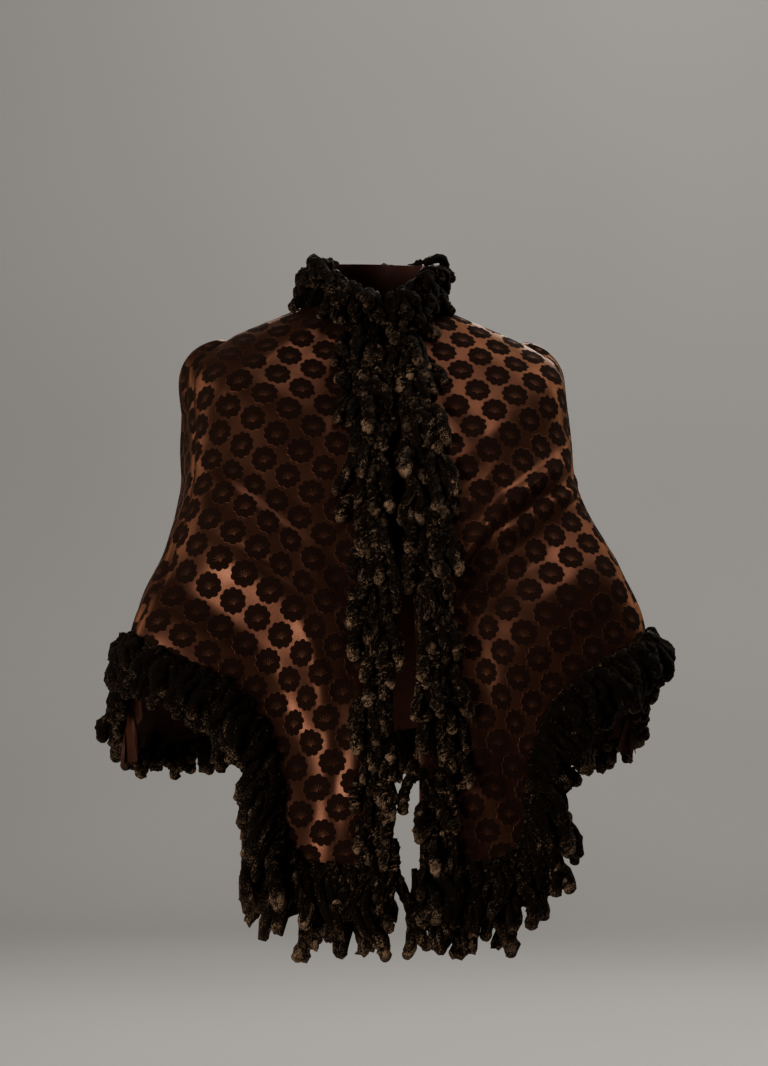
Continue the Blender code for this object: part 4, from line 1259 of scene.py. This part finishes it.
# Stage: the backdrop's floor, bend and wall, and what the lamps and the camera look at
FLOOR_START = -7.0
BEND_START = 4.6
BEND_RADIUS = 1.4
BEND_STEPS = 13
WALL_TOP = (6.0, 5.0)
HALF_WIDTH = 8.0
LAMP_AIM = (0.0, -0.05, -0.28)
WALL_AIM = (2.4, 6.0, 0.2)
WALL_POWER = 160.0
SPOT_PLACE = (0.43, -1.35, 2.00)
SPOT_AIM = (0.085, -0.160, -0.265)
SPOT_WIDTH = math.radians(5.5)
SPOT_SOFT = 0.15
WARM = (1.0, 0.95, 0.90)
WARMER = (1.0, 0.92, 0.84)
SKY = (0.80, 0.80, 0.82, 1.0)
SKY_STRENGTH = 0.07
SENSOR = 36.0
EYE_ASIDE = 0.0121
EYE_HEIGHT = -0.2343


def aimed(name, data, place, target):
    """New object in the scene that looks at a target."""
    made = in_scene(name, data)
    made.location = place
    made.rotation_euler = (Vector(target) - made.location).to_track_quat("-Z", "Y").to_euler()
    return made


def set_backdrop(stage):
    """Floor that bends up into a wall."""
    profile = [(FLOOR_START, stage.floor)]
    for t in np.linspace(0, math.pi / 2, BEND_STEPS):
        rise = BEND_RADIUS * (1 - math.cos(t))
        profile.append((BEND_START + BEND_RADIUS * math.sin(t), stage.floor + rise))
    profile.append(WALL_TOP)
    verts = [(x, y, z) for y, z in profile for x in (-HALF_WIDTH, HALF_WIDTH)]
    faces = [(2 * k, 2 * k + 1, 2 * k + 3, 2 * k + 2) for k in range(len(profile) - 1)]
    mesh = bpy.data.meshes.new("backdrop")
    mesh.from_pydata(verts, [], faces)
    mesh.shade_smooth()
    mesh.materials.append(material_once("backdrop paper", backdrop_paper, stage))
    in_scene("backdrop", mesh)


def set_lights(scene, stage):
    """Faint light from all round, soft lamps and one narrow lamp on the folds."""
    world = bpy.data.worlds.new("studio")
    world.use_nodes = True
    background = world.node_tree.nodes["Background"]
    background.inputs["Color"].default_value = SKY
    background.inputs["Strength"].default_value = SKY_STRENGTH
    scene.world = world
    lamps = (
        ("key", (-2.15, -2.53, -0.20), 1.3, stage.key, (1.0, 0.95, 0.89), LAMP_AIM),
        ("fill", (1.70, 0.50, 2.40), 1.6, stage.fill, WARM, LAMP_AIM),
        ("overhead", (0.25, -0.20, 2.30), 0.6, stage.overhead, (1.0, 0.96, 0.92), LAMP_AIM),
        ("side right", (2.9, 0.9, 0.9), 1.6, stage.rim, WARMER, LAMP_AIM),
        ("side left", (-2.9, 1.2, 0.9), 1.6, stage.rim, WARMER, LAMP_AIM),
        ("rear", (0.9, 3.2, 1.3), 1.8, stage.rear, WARM, LAMP_AIM),
        ("wall", (2.0, 2.6, 2.6), 3.5, WALL_POWER, (1.0, 0.97, 0.93), WALL_AIM),
    )
    for name, place, size, power, colour, target in lamps:
        light = bpy.data.lights.new(name, "AREA")
        light.size = size
        light.energy = power
        light.color = colour
        aimed(name, light, place, target).visible_camera = False
    light = bpy.data.lights.new("spot", "SPOT")
    light.energy = stage.spot
    light.color = WARM
    light.spot_size = SPOT_WIDTH
    light.spot_blend = 1.0
    light.shadow_soft_size = SPOT_SOFT
    aimed("spot", light, SPOT_PLACE, SPOT_AIM)


def set_camera(scene, stage):
    """Camera in front, level, a little to one side."""
    camera = bpy.data.cameras.new("camera")
    camera.lens = stage.lens
    camera.sensor_width = SENSOR
    right = Vector((math.cos(stage.azimuth), math.sin(stage.azimuth), 0.0))
    ahead = Vector((-math.sin(stage.azimuth), math.cos(stage.azimuth), 0.0))
    eye = in_scene("camera", camera)
    eye.location = right * EYE_ASIDE - ahead * stage.distance + Vector((0.0, 0.0, EYE_HEIGHT))
    eye.rotation_euler = ahead.to_track_quat("-Z", "Y").to_euler()
    scene.camera = eye


# Operators

class MANTLE_OT_fronts(bpy.types.Operator):
    """Cut and drape the two fronts"""
    bl_idname = "mantle.fronts"
    bl_label = "Fronts"

    def execute(self, context):
        cloth = context.scene.mantle_cloth
        cut_panels("front", 0, cloth, cloth.tilt)
        return {"FINISHED"}


class MANTLE_OT_sleeves(bpy.types.Operator):
    """Cut and drape the two sleeves"""
    bl_idname = "mantle.sleeves"
    bl_label = "Sleeves"

    def execute(self, context):
        cut_panels("sleeve", SLEEVE_COLUMNS // 2, context.scene.mantle_cloth)
        return {"FINISHED"}


class MANTLE_OT_backs(bpy.types.Operator):
    """Cut and drape the two halves of the back"""
    bl_idname = "mantle.backs"
    bl_label = "Back"

    def execute(self, context):
        cut_panels("back", -1, context.scene.mantle_cloth)
        return {"FINISHED"}


class MANTLE_OT_collar(bpy.types.Operator):
    """Stand the collar band on the neck seam"""
    bl_idname = "mantle.collar"
    bl_label = "Collar"

    def execute(self, context):
        cloth = context.scene.mantle_cloth
        points, normals = collar_band(COLLAR_FINE)
        flat, size, area = flatten(points, COLLAR_FINE, COLLAR_COLUMNS // 2)
        made = shell_object("velvet_collar", points + normals * cloth.wall, points, flat,
                            (velvet_material(cloth), satin_material(cloth)))
        sew_on(made, "figured_velvet", "collar")
        return {"FINISHED"}


class MANTLE_OT_linings(bpy.types.Operator):
    """Line the lower sleeves, with the worn lining hanging below the edge"""
    bl_idname = "mantle.linings"
    bl_label = "Sleeve linings"

    def execute(self, context):
        cloth = context.scene.mantle_cloth
        satin = satin_material(cloth)
        for side in SIDES:
            points, normals = lay_panel("sleeve", side, FINE, cloth.crease)
            inside = points - normals * (cloth.lining_wall + SEAM_GAP)
            inside = inside[FINE:-FINE, LINING_TOP * FINE:]
            lining = hanging_lining(inside, normals[FINE:-FINE, -1], side)
            outer = lining + grid_normals(lining, side) * cloth.lining_wall
            flat, size, area = flatten(lining, FINE, SLEEVE_COLUMNS // 2 - 1)
            name = "sleeve_lining_" + side_name(side)
            made = shell_object("satin_" + name, outer, lining, flat, (satin, satin))
            sew_on(made, "lining_satin", name)
        return {"FINISHED"}


class MANTLE_OT_front_fringes(bpy.types.Operator):
    """Sew the fringe down both front edges"""
    bl_idname = "mantle.front_fringes"
    bl_label = "Front fringes"

    def execute(self, context):
        sew_fringes(context.scene, "front", "front", front_first, FRONT_TRIM, lean_front)
        return {"FINISHED"}


class MANTLE_OT_hem_fringes(bpy.types.Operator):
    """Sew the fringe along the fronts' lower edges"""
    bl_idname = "mantle.hem_fringes"
    bl_label = "Hem fringes"

    def execute(self, context):
        sew_fringes(context.scene, "hem", "front", hem_first, HEM_TRIM, lean_hem, shorter_up)
        return {"FINISHED"}


class MANTLE_OT_sleeve_fringes(bpy.types.Operator):
    """Sew the fringe along the sleeves' lower edges"""
    bl_idname = "mantle.sleeve_fringes"
    bl_label = "Sleeve fringes"

    def execute(self, context):
        sew_fringes(context.scene, "sleeve", "sleeve", hem_first, SLEEVE_TRIM, lean_sleeve, shorter_corner)
        return {"FINISHED"}


class MANTLE_OT_back_fringe(bpy.types.Operator):
    """Sew the fringe along the back's lower edge"""
    bl_idname = "mantle.back_fringe"
    bl_label = "Back fringe"

    def execute(self, context):
        cloth = context.scene.mantle_cloth
        fringe = context.scene.mantle_fringe
        rng = np.random.default_rng(fringe.seed + BACK_TRIM.draw)
        points, normals = zip(*(lay_panel("back", side, FINE, cloth.crease) for side in SIDES))
        edge, inner = across_back(points, -1), across_back(points, -1 - FINE)
        heading = heading_lines(edge, inner, across_back(normals, -1), BACK_TRIM, cloth.wall)
        parts = hang_fringe(rng, heading, BACK_TRIM, 0, lean_back, fringe, body_tree(cloth))
        fringe_object("chenille_back", parts, fringe, "back_fringe")
        return {"FINISHED"}


class MANTLE_OT_collar_fringe(bpy.types.Operator):
    """Cover the collar with short curling cords"""
    bl_idname = "mantle.collar_fringe"
    bl_label = "Collar fringe"

    def execute(self, context):
        cloth = context.scene.mantle_cloth
        fringe = context.scene.mantle_fringe
        rng = np.random.default_rng(fringe.seed + COLLAR_DRAW)
        points, normals = collar_band(COLLAR_FINE)
        cords = collar_cords(rng, points, normals, cloth, fringe)
        lower, upper = (points[:, k] + normals[:, k] * (cloth.wall + HEADING_LIFT) for k in (-2, 1))
        braid = braid_mesh((lower, upper, normals[:, 1]), fringe.braid)
        fringe_object("chenille_collar", [cords, braid], fringe, "collar_fringe")
        return {"FINISHED"}


class MANTLE_OT_stage(bpy.types.Operator):
    """Set the floor and backdrop, the soft lights and the camera"""
    bl_idname = "mantle.stage"
    bl_label = "Stage"

    def execute(self, context):
        stage = context.scene.mantle_stage
        set_backdrop(stage)
        set_lights(context.scene, stage)
        set_camera(context.scene, stage)
        return {"FINISHED"}


OPERATORS = (
    MANTLE_OT_stage, MANTLE_OT_fronts, MANTLE_OT_sleeves, MANTLE_OT_backs, MANTLE_OT_collar,
    MANTLE_OT_linings, MANTLE_OT_collar_fringe, MANTLE_OT_front_fringes, MANTLE_OT_hem_fringes,
    MANTLE_OT_sleeve_fringes, MANTLE_OT_back_fringe,
)


class MANTLE_PT_sidebar(bpy.types.Panel):
    """Pieces of the mantle"""
    bl_idname = "MANTLE_PT_sidebar"
    bl_label = "Visite mantle"
    bl_space_type = "VIEW_3D"
    bl_region_type = "UI"
    bl_category = "Mantle"

    def draw(self, context):
        for group in (context.scene.mantle_cloth, context.scene.mantle_fringe, context.scene.mantle_stage):
            box = self.layout.box()
            for name in group.__annotations__:
                box.prop(group, name)
        for operator in OPERATORS:
            self.layout.operator(operator.bl_idname)


GROUPS = (("mantle_cloth", MantleCloth), ("mantle_fringe", MantleFringe), ("mantle_stage", MantleStage))


def register():
    """Make the sizes, the operators and the panel known."""
    for name, group in GROUPS:
        bpy.utils.register_class(group)
        setattr(bpy.types.Scene, name, PointerProperty(type=group))
    for known in OPERATORS + (MANTLE_PT_sidebar,):
        bpy.utils.register_class(known)


def unregister():
    """Take them away again."""
    for known in (MANTLE_PT_sidebar,) + OPERATORS[::-1]:
        bpy.utils.unregister_class(known)
    for name, group in GROUPS[::-1]:
        delattr(bpy.types.Scene, name)
        bpy.utils.unregister_class(group)


def main():
    """Make every piece in order."""
    register()
    bpy.ops.mantle.stage()
    bpy.ops.mantle.fronts()
    bpy.ops.mantle.sleeves()
    bpy.ops.mantle.backs()
    bpy.ops.mantle.collar()
    bpy.ops.mantle.linings()
    bpy.ops.mantle.collar_fringe()
    bpy.ops.mantle.front_fringes()
    bpy.ops.mantle.hem_fringes()
    bpy.ops.mantle.sleeve_fringes()
    bpy.ops.mantle.back_fringe()


if __name__ == "__main__":
    main()
